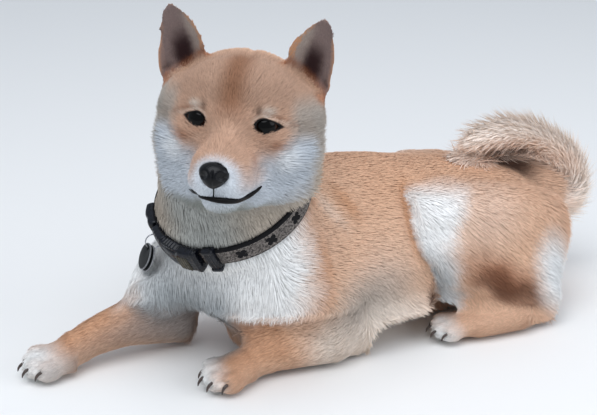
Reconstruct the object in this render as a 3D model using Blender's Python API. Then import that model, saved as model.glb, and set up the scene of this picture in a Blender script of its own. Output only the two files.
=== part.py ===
# Shiba inu puppy lying with its forelegs stretched out, life size, in metres.
# +X is the dog's left, -Y the way its body points, +Z up. The origin is on the floor under the brisket.
# The flesh is blocked out in tubes and balls, fused and smoothed as one form, then parted with thin cuts.

import math

import bmesh
import bpy
import numpy as np
from mathutils import Matrix, Vector
from mathutils.bvhtree import BVHTree

# Driving sizes of the puppy
CHEST_HEIGHT = 0.151
CHEST_WIDTH = 0.132
RUMP_HEIGHT = 0.128
EYE_SPACING = 0.0445
EYE_RADIUS = 0.0103
LID_THICKNESS = 0.0012
EAR_THICKNESS = 0.0040
COLLAR_WIDTH = 0.0165
COLLAR_THICKNESS = 0.0026
COLLAR_HALF_WIDE = 0.0590
COLLAR_HALF_DEEP = 0.0535
LOOP_WIDTH = 0.0185
BUCKLE_WIDTH = 0.0215
BUCKLE_THICKNESS = 0.0055
D_RING_REACH = 0.0062
TAG_RING_RADIUS = 0.0062
TAG_RADIUS = 0.0105
TAG_THICKNESS = 0.0012
WIRE_RADIUS = 0.0008

# Where the pieces sit on the collar, in degrees from the dog's left towards the throat
SLIDER_SPAN = (80, 91)
BUCKLE_SPAN = (94, 142)
LOOP_SPAN = (144, 172)
D_RING_ANGLE = 152

# Workshop values
GAP = 0.0003            # between touching pieces
BODY_VOXEL = 0.0040
FINE_VOXEL = 0.0022
PAW_VOXEL = 0.0018
FLOOR_DEPTH = 0.05
MERGE = 0.000001        # edges shorter than this go after a Boolean
FLATNESS = math.radians(1.5)    # faces that meet flatter than this become one

# The head turns to the dog's left, tips up and leans over a little
HEAD_CENTRE = Vector((0.035, -0.0725, 0.2015))
HEAD_YAW = math.radians(50)
HEAD_PITCH = math.radians(13.5)
HEAD_ROLL = math.radians(4)

# The collar's own axes: towards the dog's left, towards the throat, and up the neck
COLLAR_CENTRE = Vector((0.0066, -0.0635, 0.1360))
COLLAR_SIDE = Vector((0.836, 0.530, 0.143)).normalized()
COLLAR_FRONT = Vector((0.515, -0.668, -0.537))
COLLAR_FRONT = (COLLAR_FRONT - COLLAR_FRONT.dot(COLLAR_SIDE) * COLLAR_SIDE).normalized()
COLLAR_UP = COLLAR_FRONT.cross(COLLAR_SIDE).normalized()

COATS = {
    "red_coat": ((0.62, 0.33, 0.17), 0.85),
    "cream_coat": ((0.80, 0.72, 0.62), 0.85),
    "nose_leather": ((0.012, 0.011, 0.013), 0.35),
    "dark_eye": ((0.010, 0.006, 0.004), 0.08),
    "collar_webbing": ((0.20, 0.18, 0.17), 0.8),
    "buckle_plastic": ((0.010, 0.011, 0.014), 0.35),
    "tag_enamel": ((0.008, 0.010, 0.010), 0.3),
    "ring_steel": ((0.55, 0.55, 0.56), 0.3),
}


def material(name):
    """The named material, made once."""
    found = bpy.data.materials.get(name)
    if found:
        return found
    colour, roughness = COATS[name]
    made = bpy.data.materials.new(name)
    made.use_nodes = True
    shader = made.node_tree.nodes["Principled BSDF"]
    shader.inputs["Base Color"].default_value = (*colour, 1)
    shader.inputs["Roughness"].default_value = roughness
    shader.inputs["Metallic"].default_value = 1.0 if name == "ring_steel" else 0.0
    return made


def new_object(name, mesh):
    made = bpy.data.objects.new(name, mesh)
    bpy.context.scene.collection.objects.link(made)
    return made


def from_bmesh(name, bm):
    bmesh.ops.recalc_face_normals(bm, faces=bm.faces)
    mesh = bpy.data.meshes.new(name)
    bm.to_mesh(mesh)
    bm.free()
    return new_object(name, mesh)


def remove(*objects):
    for obj in objects:
        bpy.data.objects.remove(obj)


def smooth_path(stations, steps):
    """Catmull-Rom through the stations, every column alike."""
    rows = np.array(stations, float)
    ends = np.vstack([2 * rows[0] - rows[1], rows, 2 * rows[-1] - rows[-2]])
    found = []
    for i in range(1, len(rows)):
        a, b, c, d = ends[i - 1], ends[i], ends[i + 1], ends[i + 2]
        for k in range(steps):
            t = k / steps
            found.append(0.5 * (2 * b + (c - a) * t + (2 * a - 5 * b + 4 * c - d) * t**2
                                + (3 * b - a - 3 * c + d) * t**3))
    found.append(rows[-1])
    return np.array(found)


def tube(name, stations, side=(1, 0, 0), sides=20, steps=5, grow=0.0, cap=0.8):
    """A closed tube with rounded ends. A station is x, y, z, half width along side, half depth."""
    rows = smooth_path(stations, steps)
    centres = [Vector(r[:3]) for r in rows]
    bm = bmesh.new()
    rings = []

    def ring(centre, tangent, wide, deep):
        across = Vector(side)
        across = (across - across.dot(tangent) * tangent).normalized()
        up = across.cross(tangent)
        rings.append([
            bm.verts.new(centre + across * (wide + grow) * math.cos(a) + up * (deep + grow) * math.sin(a))
            for a in (2 * math.pi * k / sides for k in range(sides))])

    tangents = []
    for i in range(len(rows)):
        tangents.append((centres[min(i + 1, len(rows) - 1)] - centres[max(i - 1, 0)]).normalized())
    swells = [math.radians(a) for a in (72, 50, 25)]
    reach_start = cap * min(rows[0][3], rows[0][4]) + grow
    for a in swells:
        ring(centres[0] - tangents[0] * reach_start * math.sin(a), tangents[0],
             rows[0][3] * math.cos(a), rows[0][4] * math.cos(a))
    for centre, tangent, row in zip(centres, tangents, rows):
        ring(centre, tangent, row[3], row[4])
    reach_end = cap * min(rows[-1][3], rows[-1][4]) + grow
    for a in reversed(swells):
        ring(centres[-1] + tangents[-1] * reach_end * math.sin(a), tangents[-1],
             rows[-1][3] * math.cos(a), rows[-1][4] * math.cos(a))
    for first, second in zip(rings, rings[1:]):
        for k in range(sides):
            bm.faces.new((first[k], first[(k + 1) % sides], second[(k + 1) % sides], second[k]))
    start = bm.verts.new(centres[0] - tangents[0] * reach_start)
    end = bm.verts.new(centres[-1] + tangents[-1] * reach_end)
    for k in range(sides):
        bm.faces.new((start, rings[0][(k + 1) % sides], rings[0][k]))
        bm.faces.new((end, rings[-1][k], rings[-1][(k + 1) % sides]))
    return from_bmesh(name, bm)


def ball(name, centre, radii, turn=Matrix(), detail=3):
    """An ellipsoid with its own half sizes along x, y and z, turned about its centre."""
    bm = bmesh.new()
    bmesh.ops.create_icosphere(bm, subdivisions=detail, radius=1.0)
    place = Matrix.Translation(centre) @ turn @ Matrix.Diagonal((*radii, 1))
    bmesh.ops.transform(bm, matrix=place, verts=bm.verts)
    return from_bmesh(name, bm)


def block(name, low, high, place=Matrix()):
    bm = bmesh.new()
    bmesh.ops.create_cube(bm, size=1.0)
    low, high = Vector(low), Vector(high)
    fit = Matrix.Translation((low + high) / 2) @ Matrix.Diagonal((*(high - low), 1))
    bmesh.ops.transform(bm, matrix=place @ fit, verts=bm.verts)
    return from_bmesh(name, bm)


def half_space(point, normal, grow=0.0, reach=0.6):
    """Everything on the side of the point that the normal points to."""
    turn = Vector(normal).to_track_quat("Z", "Y").to_matrix().to_4x4()
    place = Matrix.Translation(point) @ turn
    return block("cut_half", (-reach, -reach, -grow), (reach, reach, reach), place)


def settle(obj):
    """Replaces the object's mesh by what its modifiers make of it."""
    graph = bpy.context.evaluated_depsgraph_get()
    mesh = bpy.data.meshes.new_from_object(obj.evaluated_get(graph))
    obj.modifiers.clear()
    obj.data = mesh
    return obj


def join(name, pieces):
    bm = bmesh.new()
    for piece in pieces:
        bm.from_mesh(piece.data)
    mesh = bpy.data.meshes.new(name)
    bm.to_mesh(mesh)
    bm.free()
    remove(*pieces)
    return new_object(name, mesh)


def flesh(name, pieces, voxel, rounds, share):
    """Fuses overlapping closed pieces into one smooth form, with that share of its triangles kept."""
    made = join(name, pieces)
    remesh = made.modifiers.new("Remesh", "REMESH")
    remesh.mode = "VOXEL"
    remesh.voxel_size = voxel
    smooth = made.modifiers.new("Smooth", "SMOOTH")
    smooth.factor = 0.5
    smooth.iterations = rounds
    made.modifiers.new("Triangulate", "TRIANGULATE")
    thin = made.modifiers.new("Decimate", "DECIMATE")
    thin.ratio = share
    return settle(made)


def largest_part(obj):
    """Keeps the largest closed surface of the object's mesh, in triangles, without slivers of no area."""
    bm = bmesh.new()
    bm.from_mesh(obj.data)
    bmesh.ops.dissolve_degenerate(bm, dist=MERGE, edges=bm.edges)
    left = set(bm.verts)
    groups = []
    while left:
        todo = [left.pop()]
        group = list(todo)
        while todo:
            for edge in todo.pop().link_edges:
                for vert in edge.verts:
                    if vert in left:
                        left.discard(vert)
                        todo.append(vert)
                        group.append(vert)
        groups.append(group)
    groups.sort(key=len, reverse=True)
    bmesh.ops.delete(bm, geom=[v for g in groups[1:] for v in g], context="VERTS")
    bmesh.ops.dissolve_limit(bm, angle_limit=FLATNESS, verts=bm.verts, edges=bm.edges)
    bmesh.ops.triangulate(bm, faces=bm.faces)
    bm.to_mesh(obj.data)
    bm.free()
    return obj


def boolean(obj, others, operation, solver="EXACT"):
    """One Boolean on the object with a collection of closed meshes, which are removed afterwards."""
    group = bpy.data.collections.new("operands")
    for other in others:
        group.objects.link(other)
    modifier = obj.modifiers.new("Boolean", "BOOLEAN")
    modifier.operation = operation
    modifier.operand_type = "COLLECTION"
    modifier.collection = group
    modifier.solver = solver
    settle(obj)
    remove(*others)
    bpy.data.collections.remove(group)
    return largest_part(obj)


def copy_of(obj, name):
    return new_object(name, obj.data.copy())


def grown(obj, by=GAP):
    """A copy moved out along its normals, to cut a neighbour clear of it."""
    made = copy_of(obj, f"{obj.name}_grown")
    bm = bmesh.new()
    bm.from_mesh(made.data)
    bm.normal_update()
    for vert, normal in [(v, v.normal.copy()) for v in bm.verts]:
        vert.co += normal * by * min(vert.calc_shell_factor(), 3.0)
    bm.to_mesh(made.data)
    bm.free()
    return made


def part_off(body, name, region, solver="EXACT"):
    """Takes what lies in the region off the body as a node of its own. region(grow) makes the cutter."""
    piece = boolean(copy_of(body, name), [region(0.0)], "INTERSECT", solver)
    boolean(body, [region(GAP)], "DIFFERENCE", solver)
    return piece


def head_place():
    """From the head's own axes, nose along -y and crown along +z, to the world."""
    return (Matrix.Translation(HEAD_CENTRE) @ Matrix.Rotation(HEAD_YAW, 4, "Z")
            @ Matrix.Rotation(-HEAD_PITCH, 4, "X") @ Matrix.Rotation(HEAD_ROLL, 4, "Y"))


# Body forms: x, y, z, half width, half depth
TORSO = [
    (0.010, -0.052, 0.078, 0.054, 0.056),
    (0.004, -0.008, 0.0755, CHEST_WIDTH / 2, CHEST_HEIGHT / 2),
    (0.001, 0.050, 0.0710, 0.065, 0.0725),
    (0.003, 0.110, 0.0670, 0.062, 0.0695),
    (0.008, 0.165, RUMP_HEIGHT / 2 - 0.002, 0.058, RUMP_HEIGHT / 2 + 0.001),
    (0.012, 0.204, 0.0500, 0.050, 0.052),
]
NECK = [
    (*(COLLAR_CENTRE - COLLAR_UP * 0.068), 0.056, 0.052),
    (*(COLLAR_CENTRE - COLLAR_UP * 0.034), 0.061, 0.054),
    (*COLLAR_CENTRE, COLLAR_HALF_WIDE + 0.0015, COLLAR_HALF_DEEP + 0.0015),
    (0.018, -0.073, 0.164, 0.055, 0.050),
    (0.032, -0.070, 0.194, 0.052, 0.046),
]

FORELEGS = {
    "left": {
        "upper": [(0.046, -0.036, 0.092, 0.024, 0.036), (0.052, -0.014, 0.060, 0.024, 0.032),
                  (0.053, 0.000, 0.032, 0.021, 0.026)],
        "fore": [(0.053, 0.000, 0.023, 0.020, 0.024), (0.048, -0.024, 0.022, 0.0190, 0.0225),
                 (0.043, -0.052, 0.019, 0.0165, 0.0185), (0.0415, -0.070, 0.015, 0.0165, 0.0155)],
        "paw": ((0.0420, -0.0815, 0.0120), math.radians(6), 1.0),
    },
    "right": {
        "upper": [(-0.028, -0.072, 0.086, 0.028, 0.038), (-0.037, -0.092, 0.062, 0.027, 0.032),
                  (-0.042, -0.104, 0.040, 0.023, 0.026)],
        "fore": [(-0.041, -0.084, 0.024, 0.022, 0.026), (-0.0430, -0.124, 0.028, 0.0190, 0.0220),
                 (-0.0450, -0.158, 0.023, 0.0158, 0.0180), (-0.0445, -0.176, 0.0165, 0.0165, 0.0158)],
        "paw": ((-0.0440, -0.1875, 0.0122), math.radians(-5), 1.0),
    },
}
HINDLEG = {
    "thigh": [(0.048, 0.202, 0.058, 0.032, 0.046), (0.057, 0.160, 0.070, 0.031, 0.050),
              (0.056, 0.116, 0.084, 0.027, 0.048)],
    "knee": [((0.049, 0.098, 0.104), (0.023, 0.030, 0.028)), ((0.058, 0.100, 0.068), (0.023, 0.027, 0.030)),
             ((0.070, 0.170, 0.044), (0.024, 0.044, 0.026))],
    "shank": [(0.060, 0.104, 0.062, 0.023, 0.022), (0.072, 0.135, 0.048, 0.021, 0.021),
              (0.083, 0.168, 0.034, 0.016, 0.018), (0.089, 0.186, 0.024, 0.0130, 0.0150)],
    "foot": [(0.090, 0.182, 0.016, 0.013, 0.017), (0.084, 0.150, 0.014, 0.0145, 0.0145),
             (0.076, 0.118, 0.013, 0.0160, 0.0140)],
    "paw": ((0.0715, 0.1070, 0.0118), math.radians(-15), 0.86),
}
RUMP_MIDDLE = 0.008     # x of the plane that the hind legs mirror in
TAIL = [
    (0.010, 0.212, 0.076, 0.021, 0.020),
    (0.010, 0.246, 0.064, 0.025, 0.025),
    (0.010, 0.268, 0.074, 0.026, 0.0260),
    (0.010, 0.2630, 0.101, 0.0240, 0.0235),
    (0.011, 0.235, 0.1245, 0.0215, 0.0205),
    (0.013, 0.203, 0.1375, 0.0215, 0.0210),
    (0.015, 0.178, 0.1410, 0.0195, 0.0190),
    (0.017, 0.157, 0.1405, 0.0110, 0.0110),
]
TAIL_CORE = 0.5         # of the brush's own half width
TAIL_BRUSH_START = 0.10  # of the tail's run, where its long hair starts
LOCKS_AROUND = 6
LOCK_SPACING = 0.0235
LOCK_THICKNESS = 0.0030
CLEARANCES = (0, 0.002, 0.004, 0.007, 0.010)  # tried in turn, to bend a lock off the rump
TAIL_CUTS = (0.42, 0.71)   # of its run, where one length of the tail meets the next
CHEST_FORMS = [
    ((0.002, -0.066, 0.078), (0.056, 0.038, 0.046), 25),
    ((-0.043, -0.094, 0.058), (0.028, 0.043, 0.041), 20),
    ((-0.038, -0.058, 0.090), (0.028, 0.040, 0.044), 0),
    ((0.046, -0.034, 0.086), (0.024, 0.040, 0.050), 10),
    ((0.004, 0.062, 0.024), (0.070, 0.135, 0.043), 0),
]

# Head forms in the head's own axes: centre and half sizes, mirrored where x is not zero
SKULL_FORMS = [
    ((0.000, 0.014, 0.010), (0.054, 0.053, 0.046)),     # cranium
    ((0.000, -0.010, 0.020), (0.045, 0.035, 0.031)),    # forehead
    ((0.030, 0.006, -0.012), (0.033, 0.041, 0.035)),    # cheek
    ((0.026, 0.010, -0.032), (0.034, 0.037, 0.028)),    # cheek ruff
    ((0.000, -0.012, -0.038), (0.035, 0.035, 0.022)),   # jaw
    ((0.037, 0.006, 0.010), (0.0245, 0.036, 0.027)),    # temple
]
FACE_FORMS = [
    ((0.021, -0.014, -0.008), (0.022, 0.024, 0.021)),    # under the eye
    ((0.000, -0.026, 0.005), (0.019, 0.027, 0.021)),     # stop
    ((0.000, -0.046, -0.024), (0.0240, 0.029, 0.0185)),  # muzzle
    ((0.000, -0.039, -0.012), (0.0145, 0.029, 0.0150)),  # bridge
    ((0.010, -0.051, -0.033), (0.0145, 0.020, 0.0120)),  # upper lip
    ((0.000, -0.042, -0.046), (0.0165, 0.024, 0.0120)),  # chin
]
HEAD_CUT_POINT = (0, -0.020, -0.060)    # behind the chin
HEAD_CUT_NORMAL = (0, -0.667, 0.745)


# The boxes that part the limbs from the body: place, turn in degrees, lowest and highest corner
FORELEG_CUTS = {
    "foreleg_left": ((0.033, -0.028, 0), -15, (0, -0.10, -0.05), (0.09, 0.056, 0.056)),
    "foreleg_right": ((-0.016, -0.078, 0), 0, (-0.09, -0.20, -0.05), (0, 0, 0.056)),
}
HINDPAW_CUT = ((0.075, 0.10, 0), 0, (-0.045, -0.07, -0.05), (0.06, 0.060, 0.0275))
THIGH_CUT = ((0.045, 0.16, 0), 3, (0, -0.098, -0.05), (0.09, 0.12, 0.134))
FOREPAW_BOX = (0.010, 0.036, 0.026)     # back, top and side


def mirrored(forms):
    """Each form, and its twin on the other side where it is off the middle."""
    for centre, radii in forms:
        yield centre, radii
        if centre[0]:
            yield (-centre[0], *centre[1:]), radii


def head_balls(forms):
    pieces = []
    for n, (centre, radii) in enumerate(mirrored(forms)):
        form = ball(f"head_form_{n}", centre, radii)
        form.data.transform(head_place())
        pieces.append(form)
    return pieces


# Where each toe is on its paw, across and ahead
TOES = ((-0.0150, -0.013), (-0.0056, -0.020), (0.0056, -0.020), (0.0150, -0.013))


def paw_place(leg_paw):
    centre, yaw, size = leg_paw
    return Matrix.Translation(centre) @ Matrix.Rotation(yaw, 4, "Z") @ Matrix.Scale(size, 4)


def paw_forms(leg_paw):
    """A palm and four toes, the middle two ahead, pointing along -y turned by yaw."""
    forms = [ball("palm", (0, 0.003, 0.001), (0.0185, 0.020, 0.0140))]
    for n, (x, y) in enumerate(TOES):
        forms.append(ball(f"toe_{n}", (x, y, -0.0005), (0.0064, 0.0125, 0.0112)))
    for form in forms:
        form.data.transform(paw_place(leg_paw))
    return forms


def other_side(obj):
    """The same form on the dog's right."""
    made = copy_of(obj, f"{obj.name}_right")
    made.data.transform(Matrix.Translation((2 * RUMP_MIDDLE, 0, 0)) @ Matrix.Diagonal((-1, 1, 1, 1)))
    made.data.flip_normals()
    return made


def hind_forms():
    forms = [tube(f"{name}_form", HINDLEG[name]) for name in ("thigh", "shank", "foot")]
    forms += [ball(f"knee_form_{n}", *form) for n, form in enumerate(HINDLEG["knee"])]
    return forms


def body_flesh():
    pieces = [tube("torso_form", TORSO), tube("neck_form", NECK, side=COLLAR_SIDE)]
    for n, (centre, radii, turn) in enumerate(CHEST_FORMS):
        pieces.append(ball(f"chest_form_{n}", centre, radii, Matrix.Rotation(math.radians(turn), 4, "Z")))
    pieces += head_balls(SKULL_FORMS)
    for leg in FORELEGS.values():
        pieces.append(tube("upper_form", leg["upper"]))
        pieces.append(tube("fore_form", leg["fore"]))
    hind = hind_forms()
    pieces += hind + [other_side(form) for form in hind]
    return flesh("torso", pieces, BODY_VOXEL, 10, 0.065)


def head_flesh():
    pieces = head_balls(SKULL_FORMS + FACE_FORMS)
    pieces.append(tube("neck_form", NECK, side=COLLAR_SIDE))
    return flesh("head", pieces, FINE_VOXEL, 14, 0.038)


def ear(name, mirror):
    """A cupped triangular shell, open to the front, in the head's own axes, with its root in the skull."""
    base_out, base_in = Vector((0.0590, 0.004, 0.0160)), Vector((0.0255, -0.004, 0.0460))
    bend_out, bend_in = Vector((0.0655, -0.004, 0.0560)), Vector((0.0350, -0.010, 0.0700))
    tip_out, tip_in = Vector((0.0590, -0.014, 0.0800)), Vector((0.0540, -0.014, 0.0810))
    across, along = 8, 9
    root = 0.22
    grids = ([], [])
    for i in range(along + 1):
        t = (1 + root) * i / along - root
        low, mid, high = (1 - t) ** 2, 2 * t * (1 - t), t**2
        out = base_out * low + bend_out * mid + tip_out * high
        inner = base_in * low + bend_in * mid + tip_in * high
        cup = 0.017 * max(0.0, 1 - t) ** 0.8 + 0.001
        for grid in grids:
            grid.append([])
        for k in range(across + 1):
            s = 2 * k / across - 1
            hollow = 1 - s * s
            point = out.lerp(inner, (s + 1) / 2) + Vector((0, cup * hollow, 0))
            rim = EAR_THICKNESS * (0.35 + 0.65 * hollow) * (1 - 0.4 * max(t, 0) ** 3)
            grids[0][-1].append(point)
            grids[1][-1].append(point + Vector((0, rim, 0)))
    bm = bmesh.new()
    front, back = [[[bm.verts.new(p) for p in row] for row in grid] for grid in grids]
    for grid in (front, back):
        for i in range(along):
            for k in range(across):
                a, b, c, d = grid[i][k], grid[i][k + 1], grid[i + 1][k + 1], grid[i + 1][k]
                bm.faces.new((a, b, c))
                bm.faces.new((a, c, d))
    loop = ([(0, k) for k in range(across)] + [(i, across) for i in range(along)]
            + [(along, k) for k in range(across, 0, -1)] + [(i, 0) for i in range(along, 0, -1)])
    for n, (i, k) in enumerate(loop):
        j, m = loop[(n + 1) % len(loop)]
        bm.faces.new((front[i][k], front[j][m], back[j][m], back[i][k]))
    bmesh.ops.transform(bm, matrix=head_place() @ Matrix.Diagonal((mirror, 1, 1, 1)), verts=bm.verts)
    return from_bmesh(name, bm)


def eye_place(mirror):
    """The eyeball's centre, with the eye's axis turned a little outward."""
    return (head_place() @ Matrix.Translation((mirror * EYE_SPACING / 2, -0.0268, 0.0053))
            @ Matrix.Rotation(math.radians(mirror * 16), 4, "Z"))


def eyeball(name, mirror, grow=0.0):
    made = ball(name, (0, 0, 0), (EYE_RADIUS + grow,) * 3, detail=2)
    made.data.transform(eye_place(mirror))
    return made


def lid_opening(mirror):
    """An almond, drawn out to its outer corner, that runs out of the head along the eye's axis."""
    half_wide, half_high, corner, slant = 0.0088, 0.0057, 0.0030, 0.20
    count = 16
    outline = []
    for k in range(count):
        a = 2 * math.pi * k / count
        x = half_wide * math.cos(a) + corner * max(0.0, math.cos(a)) ** 6
        outline.append((mirror * x, half_high * math.sin(a) + slant * x))
    bm = bmesh.new()
    rings = []
    for depth in (-0.004, -0.030):
        rings.append([bm.verts.new((x, depth, z)) for x, z in outline])
    for k in range(count):
        m = (k + 1) % count
        bm.faces.new((rings[0][k], rings[0][m], rings[1][m], rings[1][k]))
    bm.faces.new(rings[0])
    bm.faces.new(rings[1])
    bmesh.ops.transform(bm, matrix=eye_place(mirror), verts=bm.verts)
    return from_bmesh("lid_opening", bm)


def surface_points(obj, starts, direction, sink):
    """Where rays from the starts, all in the head's own axes, meet the object, sunk in by that much."""
    graph = bpy.context.evaluated_depsgraph_get()
    tree = BVHTree.FromObject(obj, graph)
    place = head_place()
    heading = (place.to_3x3() @ Vector(direction)).normalized()
    found = []
    for start in starts:
        hit = tree.ray_cast(place @ Vector(start), heading)[0]
        found.append(hit + heading * sink)
    return found


def groove(name, points, radius, sides=6):
    """A thin round channel through the points, to cut from a surface."""
    rows = [(*point, radius, radius) for point in points]
    return tube(name, rows, side=(0, 0.3, 1), sides=sides, steps=1)


def nose_pad(grow=0.0):
    """A rounded wedge, wide above and narrow below."""
    bm = bmesh.new()
    bmesh.ops.create_icosphere(bm, subdivisions=3, radius=1.0)
    for vert in bm.verts:
        x, y, z = vert.co
        narrow = 1 + 0.28 * z
        vert.co = Vector((x * narrow * (0.0109 + grow), y * (0.0080 + grow), z * (0.0094 + grow)))
    seat = Matrix.Translation((0, -0.0690, -0.0255)) @ Matrix.Rotation(math.radians(-14), 4, "X")
    place = head_place() @ seat
    bmesh.ops.transform(bm, matrix=place, verts=bm.verts)
    return from_bmesh("nose", bm)


def nostrils():
    place = head_place()
    holes = []
    for mirror in (-1, 1):
        hole = ball("nostril", (mirror * 0.0062, -0.0765, -0.0265), (0.0022, 0.0040, 0.0030), detail=2)
        hole.data.transform(place)
        holes.append(hole)
    return holes


def finish_head(head):
    """Lids, eye sockets, mouth line and the seat of the nose."""
    lids = [eyeball("lid", mirror, LID_THICKNESS) for mirror in (-1, 1)]
    boolean(head, lids, "UNION")
    mouth_starts = [(x, -0.12, -0.0450 + 9.5 * x * x + 0.0004) for x in np.linspace(-0.0240, 0.0240, 13)]
    cuts = [groove("mouth_line", surface_points(head, mouth_starts, (0, 1, 0), 0.0002), 0.0013)]
    split_starts = [(0, -0.12, z) for z in np.linspace(-0.0330, -0.0440, 4)]
    cuts.append(groove("lip_split", surface_points(head, split_starts, (0, 1, 0), 0.0), 0.0009))
    cuts += [lid_opening(mirror) for mirror in (-1, 1)]
    boolean(head, cuts, "DIFFERENCE")
    seats = [eyeball("eye_seat", mirror, GAP) for mirror in (-1, 1)] + [nose_pad(GAP)]
    boolean(head, seats, "DIFFERENCE")
    return head


def collar_point(angle, out, up):
    """A point by its turn round the collar from the dog's left towards the throat."""
    wide, deep = COLLAR_HALF_WIDE + out, COLLAR_HALF_DEEP + out
    return (COLLAR_CENTRE + COLLAR_SIDE * wide * math.cos(angle) + COLLAR_FRONT * deep * math.sin(angle)
            + COLLAR_UP * up)


def collar_piece(name, start, end, inner, outer, width, steps, soften=0.0):
    """A stretch of the collar between two angles in degrees, or all of it for a full turn."""
    bm = bmesh.new()
    full = end - start >= 360
    rings = []
    for n in range(steps if full else steps + 1):
        a = math.radians(start + (end - start) * n / steps)
        half = width / 2
        section = [(inner, -half), (outer - soften, -half), (outer, soften - half),
                   (outer, half - soften), (outer - soften, half), (inner, half)]
        if not soften:
            section = [(inner, -half), (outer, -half), (outer, half), (inner, half)]
        rings.append([bm.verts.new(collar_point(a, out, up)) for out, up in section])
    count = len(rings)
    sides = len(rings[0])
    for n in range(count if full else count - 1):
        first, second = rings[n], rings[(n + 1) % count]
        for k in range(sides):
            bm.faces.new((first[k], first[(k + 1) % sides], second[(k + 1) % sides], second[k]))
    if not full:
        bm.faces.new(rings[0])
        bm.faces.new(rings[-1])
    return from_bmesh(name, bm)


def collar_seats():
    """What the neck and chest are cut clear of."""
    seats = [collar_piece("band_seat", 0, 360, -GAP, 0.02, COLLAR_WIDTH + 2 * GAP, 40)]
    spans = ((BUCKLE_SPAN, BUCKLE_WIDTH), (SLIDER_SPAN, BUCKLE_WIDTH), (LOOP_SPAN, LOOP_WIDTH))
    for (start, end), width in spans:
        room = width + 2 * GAP
        seats.append(collar_piece("part_seat", start - 1, end + 1, COLLAR_THICKNESS, 0.02, room, 10))
    return seats


def wire(name, points, radius, closed, sides=8):
    """Round wire along points in one plane, a ring where closed."""
    count = len(points)
    normal = (points[1] - points[0]).cross(points[2] - points[1]).normalized()
    bm = bmesh.new()
    rings = []
    for n in range(count):
        if closed:
            along = points[(n + 1) % count] - points[n - 1]
        else:
            along = points[min(n + 1, count - 1)] - points[max(n - 1, 0)]
        out = along.normalized().cross(normal)
        rings.append([bm.verts.new(points[n] + (normal * math.sin(a) + out * math.cos(a)) * radius)
                      for a in (2 * math.pi * k / sides for k in range(sides))])
    for n in range(count if closed else count - 1):
        first, second = rings[n], rings[(n + 1) % count]
        for k in range(sides):
            bm.faces.new((first[k], first[(k + 1) % sides], second[(k + 1) % sides], second[k]))
    if not closed:
        bm.faces.new(rings[0])
        bm.faces.new(rings[-1])
    return from_bmesh(name, bm)


def tag(name, place, steps=20):
    """A round tag in the place's own plane, hung by a hole at its top, where the place's origin is."""
    hole, drop = 0.0017, TAG_RADIUS - 0.0030
    bm = bmesh.new()
    loops = []
    for depth in (-TAG_THICKNESS / 2, TAG_THICKNESS / 2):
        for centre, radius in ((-drop, TAG_RADIUS), (0.0, hole)):
            loops.append([bm.verts.new((radius * math.cos(a), depth, centre + radius * math.sin(a)))
                          for a in (2 * math.pi * k / steps for k in range(steps))])
    for k in range(steps):
        m = (k + 1) % steps
        bm.faces.new((loops[0][k], loops[0][m], loops[2][m], loops[2][k]))
        bm.faces.new((loops[1][k], loops[1][m], loops[3][m], loops[3][k]))
        bm.faces.new((loops[0][k], loops[0][m], loops[1][m], loops[1][k]))
        bm.faces.new((loops[2][k], loops[2][m], loops[3][m], loops[3][k]))
    bmesh.ops.transform(bm, matrix=place, verts=bm.verts)
    return from_bmesh(name, bm)


def tag_axes():
    """The D ring's arc under the collar's edge, then the tag ring's centre, side, facing and fall."""
    angle = math.radians(D_RING_ANGLE)
    edge = -LOOP_WIDTH / 2 - GAP
    low = collar_point(angle, COLLAR_THICKNESS + 0.0030, edge)
    out = (low - collar_point(angle, -0.02, edge)).normalized()
    swing = (out - COLLAR_UP * 0.75).normalized()
    along = (collar_point(angle + 0.05, 0, 0) - collar_point(angle - 0.05, 0, 0)).normalized()
    arc = [low + along * D_RING_REACH * math.cos(a) + swing * D_RING_REACH * math.sin(a)
           for a in (math.pi * k / 10 for k in range(11))]
    fall = Vector((-0.24, -0.40, -1)).normalized()
    facing = Vector((-0.25, -0.96, 0)).normalized()
    facing = (facing - facing.dot(fall) * fall).normalized()
    centre = arc[5] + fall * (TAG_RING_RADIUS - 2 * WIRE_RADIUS - GAP - 0.0002)
    return arc, centre, facing.cross(fall).normalized(), facing, fall


def tag_room():
    """The fur that the ring and tags press flat on the chest."""
    arc, centre, side, facing, fall = tag_axes()
    place = Matrix((side, facing, fall)).transposed().to_4x4()
    place.translation = centre
    return block("tag_room", (-0.0135, -0.0075, -0.0100), (0.0135, 0.05, 0.0280), place)


def collar():
    """Webbing, side-release buckle, slider and keeper loop, and a D ring with a split ring and two tags."""
    collar_piece("collar_band", 0, 360, 0, COLLAR_THICKNESS, COLLAR_WIDTH, 40)
    inner = COLLAR_THICKNESS + GAP
    collar_piece("collar_buckle", *BUCKLE_SPAN, inner, inner + BUCKLE_THICKNESS, BUCKLE_WIDTH, 8, 0.0018)
    collar_piece("collar_slider", *SLIDER_SPAN, inner, inner + 0.0032, BUCKLE_WIDTH, 2, 0.0010)
    collar_piece("collar_loop", *LOOP_SPAN, inner, inner + 0.0040, LOOP_WIDTH, 6, 0.0012)
    arc, centre, side, facing, fall = tag_axes()
    wire("collar_d_ring", arc, WIRE_RADIUS, False)
    circle = [centre + (facing * math.cos(a) + fall * math.sin(a)) * TAG_RING_RADIUS
              for a in (2 * math.pi * k / 20 for k in range(20))]
    wire("tag_ring", circle, WIRE_RADIUS, True, 6)
    for name, shift, turn in (("tag_front", 0.0010, 4), ("tag_back", -0.0010, -24)):
        hang = centre + fall * (TAG_RING_RADIUS + 0.0004) + facing * shift
        axes = Matrix((side, facing, -fall)).transposed().to_4x4()
        tag(name, Matrix.Translation(hang) @ axes @ Matrix.Rotation(math.radians(turn), 4, "Y"))


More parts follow.
